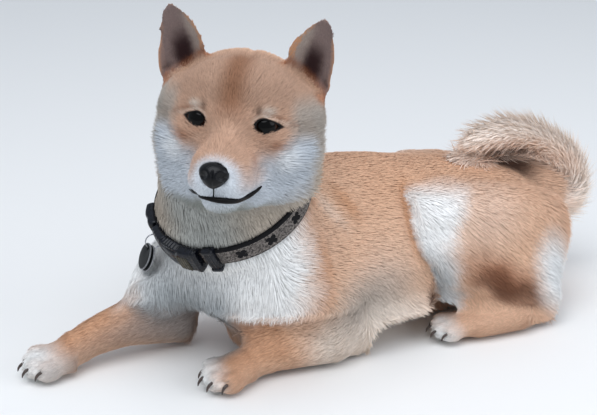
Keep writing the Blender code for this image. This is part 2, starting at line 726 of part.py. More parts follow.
def claw(place, x, y, grow=0.0, sides=6):
    """A short curved cone out of the front of a toe."""
    stations = [((x, y - 0.0080, 0.0015), 0.0018), ((x, y - 0.0125, 0.0005), 0.0016),
                ((x * 1.02, y - 0.0155, -0.0022), 0.0011), ((x * 1.03, y - 0.0168, -0.0055), 0.0004)]
    rows = [(*place @ Vector(at), radius + grow, radius + grow) for at, radius in stations]
    return tube("claw", rows, sides=sides, steps=1, cap=0.6)


def paw(name, leg_paw, limb):
    """The finely fleshed paw with its claws, still whole with the limb's end."""
    pieces = paw_forms(leg_paw) + [tube("limb_form", limb)]
    made = flesh(name, pieces, PAW_VOXEL, 4, 0.03)
    place = paw_place(leg_paw)
    return boolean(made, [claw(place, x, y) for x, y in TOES], "UNION")


def paw_region(leg_paw, back, top, side):
    (x, y, _), yaw, _ = leg_paw
    place = Matrix.Translation((x, y, 0)) @ Matrix.Rotation(yaw, 4, "Z")

    def region(grow):
        low = (-side - grow, -0.06 - grow, -0.03)
        return block("paw_region", low, (side + grow, back + grow, top + grow), place)
    return region


def leg_region(origin, turn, low, high):
    place = Matrix.Translation(origin) @ Matrix.Rotation(math.radians(turn), 4, "Z")
    low, high = Vector(low), Vector(high)

    def region(grow):
        margin = Vector((grow, grow, grow))
        return block("leg_region", low - margin, high + margin, place)
    return region


def tree_of(obj):
    """A search tree of the object's faces."""
    bm = bmesh.new()
    bm.from_mesh(obj.data)
    tree = BVHTree.FromBMesh(bm)
    bm.free()
    return tree


def lock(name, points, widths, outs, thickness):
    """A flat tapered lock of hair along the points, with a low ridge, drawn to a tip."""
    bm = bmesh.new()
    rings = []
    for n, (point, width, out) in enumerate(zip(points[:-1], widths, outs)):
        along = (points[n + 1] - points[max(n - 1, 0)]).normalized()
        across = along.cross(out).normalized()
        ridge = across.cross(along)
        sunk = ridge * thickness * 0.4
        corners = (across * width - sunk, ridge * thickness, -across * width - sunk)
        rings.append([bm.verts.new(point + corner) for corner in corners])
    for first, second in zip(rings, rings[1:]):
        for k in range(3):
            bm.faces.new((first[k], first[(k + 1) % 3], second[(k + 1) % 3], second[k]))
    tip = bm.verts.new(points[-1])
    bm.faces.new(rings[0])
    for k in range(3):
        bm.faces.new((tip, rings[-1][k], rings[-1][(k + 1) % 3]))
    bmesh.ops.triangulate(bm, faces=bm.faces)
    return from_bmesh(name, bm)


def tail_run():
    """The tail's smoothed stations, and how far along the tail each one is."""
    rows = smooth_path(TAIL, 8)
    steps = np.linalg.norm(np.diff(rows[:, :3], axis=0), axis=1)
    return rows, np.concatenate([[0], np.cumsum(steps)])


def tail_spot(at, angle, share):
    """A point by its run along the tail, turn round it and share of its half width, and the way out."""
    rows, run = tail_run()
    near = min(at, run[-1] - 0.002)
    row, ahead = [np.array([np.interp(s, run, rows[:, c]) for c in range(5)]) for s in (near, near + 0.002)]
    along = Vector(ahead[:3] - row[:3]).normalized()
    across = Vector((1, 0, 0))
    across = (across - across.dot(along) * along).normalized()
    out = across * math.cos(angle) + across.cross(along) * math.sin(angle)
    return Vector(row[:3]) + out * share * (row[3] + row[4]) / 2 + along * (at - near), out


def bent_clear(points, rump, room):
    """The lock's points, with those near or inside the rump moved out to that distance from its surface."""
    moved = [points[0]]
    for point in points[1:]:
        spot, normal, _, away = rump.find_nearest(point)
        buried = (point - spot).dot(normal) < 0
        moved.append(spot + normal * room if buried or away < room else point)
    return moved


def rooted_lock(points, widths, outs, rump):
    """The lock, bent as far as it takes to clear the rump, or none where its root is inside it."""
    for room in CLEARANCES:
        bent = bent_clear(points, rump, room) if room else points
        made = lock("lock", bent, widths, outs, LOCK_THICKNESS)
        root = made.data.vertices[0].co
        spot, normal = rump.find_nearest(root)[:2]
        if not rump.overlap(tree_of(made)) and (root - spot).dot(normal) > 0:
            return made
        remove(made)
    return None


def tail_locks(start, end, rng, rump):
    """Rings of locks rooted between two runs along the tail, that bend with it towards its tip."""
    rows, run = tail_run()
    count = round((end - start) / LOCK_SPACING)
    made = []
    for n in range(count + 1):
        at = start + (end - start) * n / count
        wide = np.interp(at, run, rows[:, 3])
        for k in range(LOCKS_AROUND):
            a = 2 * math.pi * (k + 0.5 * (n % 2) + rng.uniform(-0.1, 0.1)) / LOCKS_AROUND
            lean = max(wide, 0.012) * rng.uniform(1.35, 1.75)
            full = rng.uniform(0.97, 1.06)
            spots = [tail_spot(at - 0.003, a, 0.26), tail_spot(at + 0.22 * lean, a, 0.76 * full),
                     tail_spot(at + 0.62 * lean, a, 0.96 * full), tail_spot(at + lean, a, full)]
            half = wide * math.pi / LOCKS_AROUND * rng.uniform(0.95, 1.1)
            points, outs = zip(*spots)
            made.append(rooted_lock(points, (half * 0.5, half, half * 0.62), outs, rump))
    return [one for one in made if one]


def tail(rump):
    """The curled brush: a thin core with locks, in three lengths whose locks lie over the next one."""
    core_rows = [TAIL[0]] + [(*row[:3], row[3] * TAIL_CORE, row[4] * TAIL_CORE) for row in TAIL[1:]]
    rest = flesh("tail_base", [tube("core", core_rows, sides=16, steps=4)], FINE_VOXEL, 2, 0.03)
    whole = tail_run()[1][-1]
    lengths = [rest]
    for name, share in zip(("tail_curl", "tail_tip"), TAIL_CUTS):
        here = tail_spot(whole * share, 0, 0)[0]
        along = tail_spot(whole * share + 0.004, 0, 0)[0] - here

        def far(grow):
            return half_space(here, along, grow, 0.15)
        rest = part_off(rest, name, far, "MANIFOLD")
        lengths.append(rest)
    rng = np.random.default_rng(18)
    ends = [TAIL_BRUSH_START * whole] + [whole * share for share in TAIL_CUTS] + [whole]
    tree = tree_of(rump)
    for n, length in enumerate(lengths):
        boolean(length, [copy_of(rump, "rump_copy")], "DIFFERENCE")
        boolean(length, tail_locks(ends[n] + 0.005, ends[n + 1] - 0.010, rng, tree), "UNION", "MANIFOLD")
        for before in lengths[:n]:
            boolean(length, [grown(before, 2 * GAP)], "DIFFERENCE")
    return lengths


def on_the_floor(*nodes):
    for node in nodes:
        boolean(node, [block("floor", (-1, -1, -FLOOR_DEPTH), (1, 1, 0))], "DIFFERENCE")


FINISHES = {
    "red_coat": ("torso", "head", "ear_left", "ear_right", "foreleg_left", "foreleg_right",
                 "hindleg_left", "hindleg_right"),
    "cream_coat": ("neck", "forepaw_left", "forepaw_right", "hindpaw_left", "hindpaw_right",
                   "tail_base", "tail_curl", "tail_tip"),
    "nose_leather": ("nose",),
    "dark_eye": ("eye_left", "eye_right"),
    "collar_webbing": ("collar_band",),
    "buckle_plastic": ("collar_buckle", "collar_slider", "collar_loop"),
    "tag_enamel": ("tag_front", "tag_back"),
    "ring_steel": ("collar_d_ring", "tag_ring"),
}
FLAT_SHADED = ("collar_band", "collar_buckle", "collar_slider", "collar_loop", "tag_front", "tag_back")


def finish():
    """A material for every node, and round pieces shaded smooth."""
    for name, nodes in FINISHES.items():
        for node in nodes:
            obj = bpy.data.objects[node]
            obj.data.name = node
            obj.data.materials.clear()
            obj.data.materials.append(material(name))
            for face in obj.data.polygons:
                face.material_index = 0
                face.use_smooth = node not in FLAT_SHADED


def main():
    for obj in list(bpy.data.objects):
        bpy.data.objects.remove(obj)
    body = body_flesh()
    on_the_floor(body)
    head = head_flesh()
    head_cut = (head_place() @ Vector(HEAD_CUT_POINT), head_place().to_3x3() @ Vector(HEAD_CUT_NORMAL))
    boolean(head, [half_space(*head_cut)], "INTERSECT")
    boolean(body, [half_space(*head_cut, grow=GAP)], "DIFFERENCE")
    finish_head(head)
    for name, mirror in (("ear_left", 1), ("ear_right", -1)):
        boolean(ear(name, mirror), [grown(head)], "DIFFERENCE")
    for name, mirror in (("eye_left", 1), ("eye_right", -1)):
        eyeball(name, mirror)
    boolean(nose_pad(), nostrils(), "DIFFERENCE")
    neck_cut = COLLAR_CENTRE - COLLAR_UP * 0.0125
    neck = part_off(body, "neck", lambda grow: half_space(neck_cut, COLLAR_UP, grow))
    for flesh_node in (neck, body):
        boolean(flesh_node, collar_seats() + [tag_room()], "DIFFERENCE")
    collar()
    for side, leg in FORELEGS.items():
        region = paw_region(leg["paw"], *FOREPAW_BOX)
        made = paw(f"forepaw_{side}", leg["paw"], leg["fore"])
        boolean(made, [region(0)], "INTERSECT")
        on_the_floor(made)
        boolean(body, [region(GAP)], "DIFFERENCE")
    for name, cut in FORELEG_CUTS.items():
        part_off(body, name, leg_region(*cut))
    hind = paw("hindpaw_left", HINDLEG["paw"], HINDLEG["foot"])
    hind_region = leg_region(*HINDPAW_CUT)
    boolean(hind, [hind_region(0)], "INTERSECT")
    on_the_floor(hind)
    other_side(hind).name = "hindpaw_right"
    thigh_region = leg_region(*THIGH_CUT)

    def other(region):
        def mirrored_region(grow):
            cutter = region(grow)
            twin = other_side(cutter)
            remove(cutter)
            return twin
        return mirrored_region
    for cutter in (hind_region, other(hind_region)):
        boolean(body, [cutter(GAP)], "DIFFERENCE")
    rump = grown(body)
    part_off(body, "hindleg_left", thigh_region)
    part_off(body, "hindleg_right", other(thigh_region))
    tail(rump)
    remove(rump)
    finish()


main()
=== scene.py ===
# Shiba inu puppy lying with its forelegs out, life size: skin, coat, eyes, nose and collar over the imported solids.
import math

import bmesh
import bpy
import numpy as np
from mathutils import Matrix, Vector
from mathutils.bvhtree import BVHTree


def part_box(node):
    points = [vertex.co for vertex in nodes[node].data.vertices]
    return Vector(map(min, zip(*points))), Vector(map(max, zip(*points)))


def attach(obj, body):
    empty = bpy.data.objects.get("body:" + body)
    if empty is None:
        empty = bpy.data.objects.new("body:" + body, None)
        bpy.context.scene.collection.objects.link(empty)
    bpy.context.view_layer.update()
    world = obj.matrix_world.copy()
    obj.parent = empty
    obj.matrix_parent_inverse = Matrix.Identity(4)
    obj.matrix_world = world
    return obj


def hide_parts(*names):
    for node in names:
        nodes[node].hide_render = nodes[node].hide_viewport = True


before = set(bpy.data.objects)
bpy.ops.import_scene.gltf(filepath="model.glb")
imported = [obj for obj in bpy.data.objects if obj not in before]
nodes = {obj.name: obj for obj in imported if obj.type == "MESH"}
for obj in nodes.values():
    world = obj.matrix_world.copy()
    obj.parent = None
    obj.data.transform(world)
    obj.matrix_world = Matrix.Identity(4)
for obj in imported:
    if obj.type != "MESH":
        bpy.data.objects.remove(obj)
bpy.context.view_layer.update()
scene = bpy.context.scene
print("frame loaded:", len(nodes), "nodes")


# Small helpers

def linear(code):  # an sRGB hex colour as linear values
    parts = [int(code[i:i + 2], 16) / 255 for i in (1, 3, 5)]
    return [c / 12.92 if c <= 0.04045 else ((c + 0.055) / 1.055) ** 2.4 for c in parts]


def addNode(tree, kind, props=None, values=None, links=None):
    made = tree.nodes.new(kind)
    for key, value in (props or {}).items():
        setattr(made, key, value)
    for key, value in (values or {}).items():
        made.inputs[key].default_value = value
    for key, value in (links or {}).items():
        tree.links.new(value, made.inputs[key])
    return made


def newMaterial(name, colour, roughness, **sockets):
    made = bpy.data.materials.new(name)
    made.use_nodes = True
    shader = made.node_tree.nodes["Principled BSDF"]
    shader.inputs["Base Color"].default_value = (*linear(colour), 1)
    shader.inputs["Roughness"].default_value = roughness
    for key, value in sockets.items():
        shader.inputs[key.replace("_", " ")].default_value = value
    return made, made.node_tree, shader


def newObject(name, mesh):
    made = bpy.data.objects.new(name, mesh)
    scene.collection.objects.link(made)
    return made


def fromBmesh(name, bm, smooth=True):
    bmesh.ops.recalc_face_normals(bm, faces=bm.faces)
    mesh = bpy.data.meshes.new(name)
    bm.to_mesh(mesh)
    bm.free()
    mesh.polygons.foreach_set("use_smooth", [smooth] * len(mesh.polygons))
    return newObject(name, mesh)


def settle(obj):  # what the modifiers make of the object becomes its plain mesh
    graph = bpy.context.evaluated_depsgraph_get()
    mesh = bpy.data.meshes.new_from_object(obj.evaluated_get(graph))
    obj.modifiers.clear()
    obj.data = mesh
    return obj


def finishPiece(obj, replaced=(), material=None):
    if material:
        obj.data.materials.clear()
        obj.data.materials.append(material)
    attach(obj, "root")
    if replaced:
        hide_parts(*replaced)
    return obj


def smoothPath(stations, steps):  # Catmull-Rom through the rows, every column alike
    rows = np.array(stations, float)
    ends = np.vstack([2 * rows[0] - rows[1], rows, 2 * rows[-1] - rows[-2]])
    found = []
    for i in range(1, len(rows)):
        a, b, c, d = ends[i - 1], ends[i], ends[i + 1], ends[i + 2]
        for k in range(steps):
            t = k / steps
            found.append(0.5 * (2 * b + (c - a) * t + (2 * a - 5 * b + 4 * c - d) * t**2
                                + (3 * b - a - 3 * c + d) * t**3))
    found.append(rows[-1])
    return np.array(found)


def tube(name, rows, sides=12, side=(0.3, 0.2, 1), flat=1.0):  # rows: x, y, z, radius; flat squeezes it along side
    centres = [Vector(row[:3]) for row in rows]
    bm = bmesh.new()
    rings = []
    for n, centre in enumerate(centres):
        along = (centres[min(n + 1, len(rows) - 1)] - centres[max(n - 1, 0)]).normalized()
        across = Vector(side)
        across = (across - across.dot(along) * along).normalized()
        other = across.cross(along)
        rings.append([bm.verts.new(centre + (across * math.cos(a) * flat + other * math.sin(a)) * rows[n][3])
                      for a in (2 * math.pi * k / sides for k in range(sides))])
    for first, second in zip(rings, rings[1:]):
        for k in range(sides):
            bm.faces.new((first[k], first[(k + 1) % sides], second[(k + 1) % sides], second[k]))
    bm.faces.new(rings[0])
    bm.faces.new(rings[-1])
    return fromBmesh(name, bm)


def joined(name, pieces):
    bm = bmesh.new()
    for piece in pieces:
        bm.from_mesh(piece.data)
        bpy.data.objects.remove(piece)
    mesh = bpy.data.meshes.new(name)
    bm.to_mesh(mesh)
    bm.free()
    return newObject(name, mesh)


# The head's own axes: nose along -y, crown along +z, the dog's left along +x

head = {"centre": (0.035, -0.0725, 0.2015), "yaw": 50, "pitch": 13.5, "roll": 4,
        "eyeSpacing": 0.0445, "eyeRadius": 0.0103, "eyeTurn": 16}
headPlace = (Matrix.Translation(head["centre"]) @ Matrix.Rotation(math.radians(head["yaw"]), 4, "Z")
             @ Matrix.Rotation(-math.radians(head["pitch"]), 4, "X")
             @ Matrix.Rotation(math.radians(head["roll"]), 4, "Y"))


def eyePlace(mirror):
    return (headPlace @ Matrix.Translation((mirror * head["eyeSpacing"] / 2, -0.0268, 0.0053))
            @ Matrix.Rotation(math.radians(mirror * head["eyeTurn"]), 4, "Z"))


# The collar's own axes: towards the dog's left, towards the throat, and up the neck

collar = {"centre": Vector((0.0066, -0.0635, 0.1360)), "side": Vector((0.836, 0.530, 0.143)).normalized(),
          "front": Vector((0.515, -0.668, -0.537)), "halfWide": 0.0590, "halfDeep": 0.0535,
          "width": 0.0165, "thickness": 0.0026, "gap": 0.0003}
collar["front"] = (collar["front"] - collar["front"].dot(collar["side"]) * collar["side"]).normalized()
collar["up"] = collar["front"].cross(collar["side"]).normalized()


def collarPoint(angle, out, up):
    wide, deep = collar["halfWide"] + out, collar["halfDeep"] + out
    return (collar["centre"] + collar["side"] * wide * math.cos(angle) + collar["front"] * deep * math.sin(angle)
            + collar["up"] * up)


# The skin: merged copies of the flesh, fused over the thin cuts between them, and drawn in by the coat's depth

skin = {"voxel": 0.0021, "overlap": 0.0005, "smoothRounds": 5, "tailCore": 0.5, "tailSides": 20,
        "eyeZone": 0.0165, "lidOver": 0.0011}
fleshNodes = ["torso", "neck", "head", "ear_left", "ear_right", "foreleg_left", "foreleg_right", "forepaw_left",
              "forepaw_right", "hindleg_left", "hindleg_right", "hindpaw_left", "hindpaw_right"]
tailNodes = ["tail_base", "tail_curl", "tail_tip"]
# x, y, z, half width and half depth of the tail's brush, as the source has them
tailStations = [(0.010, 0.212, 0.076, 0.021, 0.020), (0.010, 0.246, 0.064, 0.025, 0.025),
                (0.010, 0.268, 0.074, 0.026, 0.026), (0.010, 0.263, 0.101, 0.024, 0.0235),
                (0.011, 0.235, 0.1245, 0.0215, 0.0205), (0.013, 0.203, 0.1375, 0.0215, 0.021),
                (0.015, 0.178, 0.141, 0.0195, 0.019), (0.017, 0.157, 0.1405, 0.011, 0.011)]
tailRows = smoothPath(tailStations, 8)
# inner fur that closes the curl's hollow: x, y, z, radius
hollowRows = smoothPath([(1, 184, 121, 8), (2, 203, 113, 11), (9, 224, 101, 14), (14, 246, 85, 14), (17, 262, 68, 10)], 5) / 1000
# the fold where the thigh lies over the flank, on the dog's left; the other side is mirrored about midX
foldLine = smoothPath([(40, 73, 126), (52, 70, 112), (61, 70, 98), (67, 76, 76), (69, 84, 54), (66, 92, 34)], 5) / 1000
midX = 0.008


def mergedCopy(name, grow):
    bm = bmesh.new()
    bm.from_mesh(nodes[name].data)
    bmesh.ops.remove_doubles(bm, verts=bm.verts, dist=0.00001)
    bm.normal_update()
    for vert, normal in [(v, v.normal.copy()) for v in bm.verts]:
        vert.co += normal * grow
    mesh = bpy.data.meshes.new(name + "Copy")
    bm.to_mesh(mesh)
    bm.free()
    return newObject(name + "Copy", mesh)


def fleshTree():  # one search tree of all the flesh, and which node each of its faces is from
    points, faces, owners = [], [], []
    for n, name in enumerate(fleshNodes):
        base = len(points)
        mesh = nodes[name].data
        points += [v.co.copy() for v in mesh.vertices]
        for polygon in mesh.polygons:
            faces.append([base + i for i in polygon.vertices])
            owners.append(n)
    return BVHTree.FromPolygons(points, faces), np.array(owners)


def meshPoints(mesh, what="co"):
    found = np.zeros(len(mesh.vertices) * 3, np.float32)
    if what == "co":
        mesh.vertices.foreach_get("co", found)
    else:
        mesh.vertex_normals.foreach_get("vector", found)
    return found.reshape(-1, 3).astype(float)


def meshEdges(mesh):
    found = np.zeros(len(mesh.edges) * 2, np.int32)
    mesh.edges.foreach_get("vertices", found)
    return found.reshape(-1, 2)


def evened(values, edges, rounds):  # each value drawn towards its neighbours' mean
    values = np.array(values, float)
    flat = values.reshape(len(values), -1)
    count = np.maximum(np.bincount(edges.ravel(), minlength=len(values)), 1)[:, None]
    for _ in range(rounds):
        total = np.column_stack([np.bincount(edges[:, 0], flat[edges[:, 1], c], len(flat))
                                 + np.bincount(edges[:, 1], flat[edges[:, 0], c], len(flat))
                                 for c in range(flat.shape[1])])
        flat = 0.5 * flat + 0.5 * total / count
    return flat.reshape(values.shape)


def step(low, high, x):  # a smooth step from 0 to 1
    t = np.clip((x - low) / (high - low), 0, 1)
    return t * t * (3 - 2 * t)


def blob(points, centre, radii, soft=0.5):  # 1 inside an ellipsoid, fading to 0 at its edge
    reach = np.sqrt((((points - np.array(centre)) / np.array(radii)) ** 2).sum(1))
    return 1 - step(1 - soft, 1, reach)


def earPlaces(sided):  # along each ear from root (0) to tip (1), and across it from outer edge (-1) to inner (1)
    outer = np.array([(59.0, 4, 16), (65.5, -4, 56), (59.0, -14, 80)])
    inner = np.array([(25.5, -4, 46), (35.0, -10, 70), (54.0, -14, 81)])
    rise, across = np.meshgrid(np.linspace(0, 1, 25), np.linspace(-1, 1, 21), indexing="ij")
    rise, across = rise.ravel()[:, None], across.ravel()[:, None]
    curve = [(1 - rise) ** 2, 2 * rise * (1 - rise), rise ** 2]
    first, second = (sum(w * row for w, row in zip(curve, rows)) for rows in (outer, inner))
    spots = first * (1 - across) / 2 + second * (1 + across) / 2
    spots[:, 1] += ((17 * (1 - rise) ** 0.8 + 1) * (1 - across ** 2))[:, 0]
    nearest = np.zeros(len(sided), int)
    for start in range(0, len(sided), 4000):
        part = sided[start:start + 4000]
        nearest[start:start + 4000] = ((part[:, None, :] - spots[None]) ** 2).sum(2).argmin(1)
    return rise[nearest, 0], across[nearest, 0]


def tailTube(share):
    rows = [(*row[:3], (row[3] + row[4]) / 2 * (1.0 if n < 8 else share)) for n, row in enumerate(tailRows)]
    return tube("tailCore", rows, skin["tailSides"], side=(1, 0, 0))


pieces = [mergedCopy(name, skin["overlap"]) for name in fleshNodes + ["eye_left", "eye_right", "nose"]]
pieces.append(tailTube(skin["tailCore"]))
pieces.append(tube("hollowCore", hollowRows, skin["tailSides"], side=(1, 0, 0)))
skinObject = joined("skin", pieces)
remesh = skinObject.modifiers.new("Remesh", "REMESH")
remesh.mode = "VOXEL"
remesh.voxel_size = skin["voxel"]
remesh.use_smooth_shade = True
even = skinObject.modifiers.new("Smooth", "SMOOTH")
even.factor = 0.5
even.iterations = skin["smoothRounds"]
settle(skinObject)
skinMesh = skinObject.data
bm = bmesh.new()
bm.from_mesh(skinMesh)
eyeCentres = [eyePlace(mirror).translation for mirror in (-1, 1)]
for shrink in (0, 0.0012):  # twice finer, twice over, round the eyes
    close = {v for v in bm.verts if min((v.co - c).length for c in eyeCentres) < skin["eyeZone"] - shrink}
    bmesh.ops.subdivide_edges(bm, edges=[e for e in bm.edges if e.verts[0] in close and e.verts[1] in close],
                              cuts=1, use_grid_fill=True)
unseen, strays = set(bm.verts), []
while unseen:  # crumbs that the remesh leaves beside thin tips
    group = [unseen.pop()]
    for vert in group:
        for other in [edge.other_vert(vert) for edge in vert.link_edges]:
            if other in unseen:
                unseen.remove(other)
                group.append(other)
    if len(group) < 500:
        strays += group
bmesh.ops.delete(bm, geom=strays, context="VERTS")
bm.to_mesh(skinMesh)
bm.free()
print("skin fused:", len(skinMesh.polygons), "faces")

tree, owners = fleshTree()
points = meshPoints(skinMesh)
edges = meshEdges(skinMesh)
region = np.array([owners[tree.find_nearest(Vector(p))[2]] for p in points])
tailLine = tailRows[:, :3]
tailNear = np.sqrt(((points[:, None, :] - tailLine[None, 8::2, :]) ** 2).sum(2)).min(1)
tailCoreReach = 0.026 * skin["tailCore"] + 0.004
overBack = (points[:, 1] > 0.2) | (points[:, 2] > 0.1335 - 0.2 * (points[:, 1] - 0.131))
inTail = ((tailNear < tailCoreReach) & (points[:, 2] > 0.05) & (points[:, 1] > 0.14) & overBack).astype(float)
inHead = np.array(headPlace.inverted())
local = (points @ inHead[:3, :3].T + inHead[:3, 3]) * 1000  # in the head's own axes, in millimetres


def named(*names):  # 1 on these nodes' part of the skin
    return np.isin(region, [fleshNodes.index(n) for n in names]).astype(float)


def table(values, other):  # one value for each flesh node
    return np.array([values.get(n, other) for n in fleshNodes])[region]


isHead = named("head")
isEar = named("ear_left", "ear_right")
isPaw = named("forepaw_left", "forepaw_right", "hindpaw_left", "hindpaw_right")
sideways = np.abs(local[:, 0])
muzzle = isHead * blob(local, (0, -58, -30), (26, 34, 26), 0.4)
cheek = isHead * step(34, 46, sideways) * step(12, -4, local[:, 2])

pawsAt = {"fore.left": ((0.0420, -0.0815, 0.0120), 6, 1.0, 1), "fore.right": ((-0.0440, -0.1875, 0.0122), -5, 1.0, 1),
          "hind.left": ((0.0715, 0.1070, 0.0118), -15, 0.86, 1), "hind.right": ((0.0715, 0.1070, 0.0118), -15, 0.86, -1)}
toesAt = ((-0.0150, -0.013), (-0.0056, -0.020), (0.0056, -0.020), (0.0150, -0.013))

# Millimetres from the coat's outside in to the skin
depth = table({"torso": 5.5, "neck": 6.0, "head": 2.4, "ear_left": 0.7, "ear_right": 0.7, "foreleg_left": 3.0,
               "foreleg_right": 3.0, "hindleg_left": 4.5, "hindleg_right": 4.5}, 1.8)
depth = depth + 3.0 * cheek - 1.2 * muzzle
depth = depth * (1 - inTail) + 0.2 * inTail
depth = evened(depth, edges, 8)
for centre in eyeCentres:
    near = np.sqrt(((points - np.array(centre)) ** 2).sum(1))
    depth = np.where(near < 0.022, np.minimum(depth, 0.2 + np.maximum(near - 0.013, 0) * 250), depth)
offCollar = (points - np.array(collar["centre"])) @ np.array(collar["up"]) * 1000
onNeck = np.maximum(named("neck"), named("torso", "head") * (np.abs(offCollar) < 30))
depth = depth - np.maximum(depth - 1.6, 0) * onNeck * step(24, 9, np.abs(offCollar)) * (points[:, 1] < 0.02)
normals = evened(meshPoints(skinMesh, "normal"), edges, 3)
normals /= np.linalg.norm(normals, axis=1)[:, None]
points = points - normals * (depth[:, None] / 1000 + skin["overlap"])
earSided = np.column_stack([np.abs(local[:, 0]), local[:, 1:]])
earUp, earAcross = earPlaces(earSided)
outward = np.column_stack([np.sign(local[:, 0]) * -0.76, local[:, 0] * 0, local[:, 0] * 0 + 0.65]) @ inHead[:3, :3]
wider = evened(earAcross * (0.0019 + 0.0012 * earUp) * isEar * step(0.05, 0.3, earUp), edges, 8)
points = points + outward * wider[:, None]
points = points + (evened(points, edges, 2) - points) * isEar[:, None]
for turn in range(12):  # drawn in and out by turns, which takes the steps off the thin edge and keeps its size
    points = points + (evened(points, edges, 5) - points) * (isEar * (0.80, -0.84)[turn % 2])[:, None]
earRim = isEar * step(0.70, 0.90, np.abs(earAcross))
points = points + (evened(points, edges, 8) - points) * earRim[:, None]
byClaw = np.zeros(len(points))
for centre, yaw, size, mirror in pawsAt.values():
    inPaw = np.array((Matrix.Translation(centre) @ Matrix.Rotation(math.radians(yaw), 4, "Z") @ Matrix.Scale(size, 4)).inverted())
    seen = points.copy()
    if mirror < 0:
        seen[:, 0] = 2 * midX - seen[:, 0]
    seen = seen @ inPaw[:3, :3].T + inPaw[:3, 3]
    for x, y in toesAt:
        run = np.clip(y - seen[:, 1], 0.0085, 0.022)
        off = seen - np.column_stack([x + 0 * run, y - run, -0.35 * (run - 0.0085)])
        byClaw = np.maximum(byClaw, step(0.0058, 0.0036, np.linalg.norm(off, axis=1)))
points = points + (evened(points, edges, 70) - points) * byClaw[:, None]
notch = np.exp(-((local[:, 0] - 2.5) / 3.0) ** 2) * step(42, 50, local[:, 2]) * isHead
points = points - normals * (0.0016 * notch)[:, None]
trunkOnly = evened(named("torso", "hindleg_left", "hindleg_right") * (1 - inTail), edges, 6)[:, None]
points = points + (evened(points, edges, 26) - points) * trunkOnly
hipTop = trunkOnly * (step(0.100, 0.116, points[:, 2]) * step(0.0, 0.03, points[:, 1]) * step(0.17, 0.14, points[:, 1]))[:, None]
points = points + (evened(points, edges, 160) - points) * hipTop
along = points[:, 1] * 1000
lift = np.interp(along, (-48, -4, 22, 46, 70, 94, 118, 142, 170), (0, 6, 8, 10, 10, 6.5, 3.5, 2.5, 0))
points[:, 2] += lift / 1000 * trunkOnly[:, 0] * step(0.112, 0.142, points[:, 2])
topOnly = (trunkOnly[:, 0] * step(0.118, 0.135, points[:, 2]) * step(-30, 10, along) * step(165, 130, along))[:, None]
points = points + (evened(points, edges, 60) - points) * topOnly
tagMiddle = sum((Vector(c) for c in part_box("tag_front")), Vector()) / 2
tagFacing = Vector((-0.25, -0.96, 0.0)).normalized()
fromTag = points - np.array(tagMiddle)
ahead = fromTag @ np.array(tagFacing)
around = np.sqrt(np.maximum((fromTag ** 2).sum(1) - ahead ** 2, 0))
byTag = (step(0.040, 0.022, around) * step(0.045, 0.03, np.abs(ahead)) * named("torso", "neck"))[:, None]
points = points + (evened(points, edges, 90) - points) * byTag
ahead = (points - np.array(tagMiddle)) @ np.array(tagFacing)
points = points - np.array(tagFacing) * (np.maximum(ahead + 0.0042, 0) * byTag[:, 0] * step(0.020, 0.013, around))[:, None]
flankOrThigh = named("torso", "hindleg_left", "hindleg_right") * (1 - inTail)


def toFold(points):  # how far each point is from the thigh's fold, and on which side of it
    mirrored = np.column_stack([midX + np.abs(points[:, 0] - midX), points[:, 1:]])
    gaps = mirrored[:, None, :] - foldLine[None]
    distance = np.sqrt((gaps ** 2).sum(2))
    nearest = distance.argmin(1)
    return distance.min(1) * 1000, gaps[np.arange(len(points)), nearest, 1]


foldNear, foldSide = toFold(points)
fold = np.exp(-(foldNear / np.where(foldSide > 0, 3.2, 9.0)) ** 2) * flankOrThigh * step(0.134, 0.118, points[:, 2])
points = points - normals * (0.0085 * fold)[:, None]
points[:, 2] = np.maximum(points[:, 2], 0.0012)
points = evened(points, edges, 1) * 0.5 + points * 0.5
hollowNear = np.sqrt(((points[:, None, :] - hollowRows[None, :, :3]) ** 2).sum(2)).min(1) * 1000
inHollow = step(16, 11, hollowNear) * (1 - inTail)


lids = {"middle": -2.0, "outer": {1: 12.0, -1: 10.4}, "inner": 6.6, "high": 4.7, "slant": {1: 0.03, -1: 0.10}, "rim": 0.0006, "steps": 64}


def almondReach(across, up, sideOf):  # 1 on the edge of the lids' opening, in the eye's own axes and millimetres
    run = across - lids["middle"]
    rise = np.abs((up - lids["slant"][sideOf] * run) / lids["high"])
    pointed = (np.abs(run / lids["outer"][sideOf]) ** 1.25 + rise ** 1.35) ** 0.77
    rounded = (np.abs(run / lids["inner"]) ** 2.0 + rise ** 1.8) ** 0.53
    return np.where(run > 0, pointed * step(0, 4, run) + rounded * (1 - step(0, 4, run)), rounded)


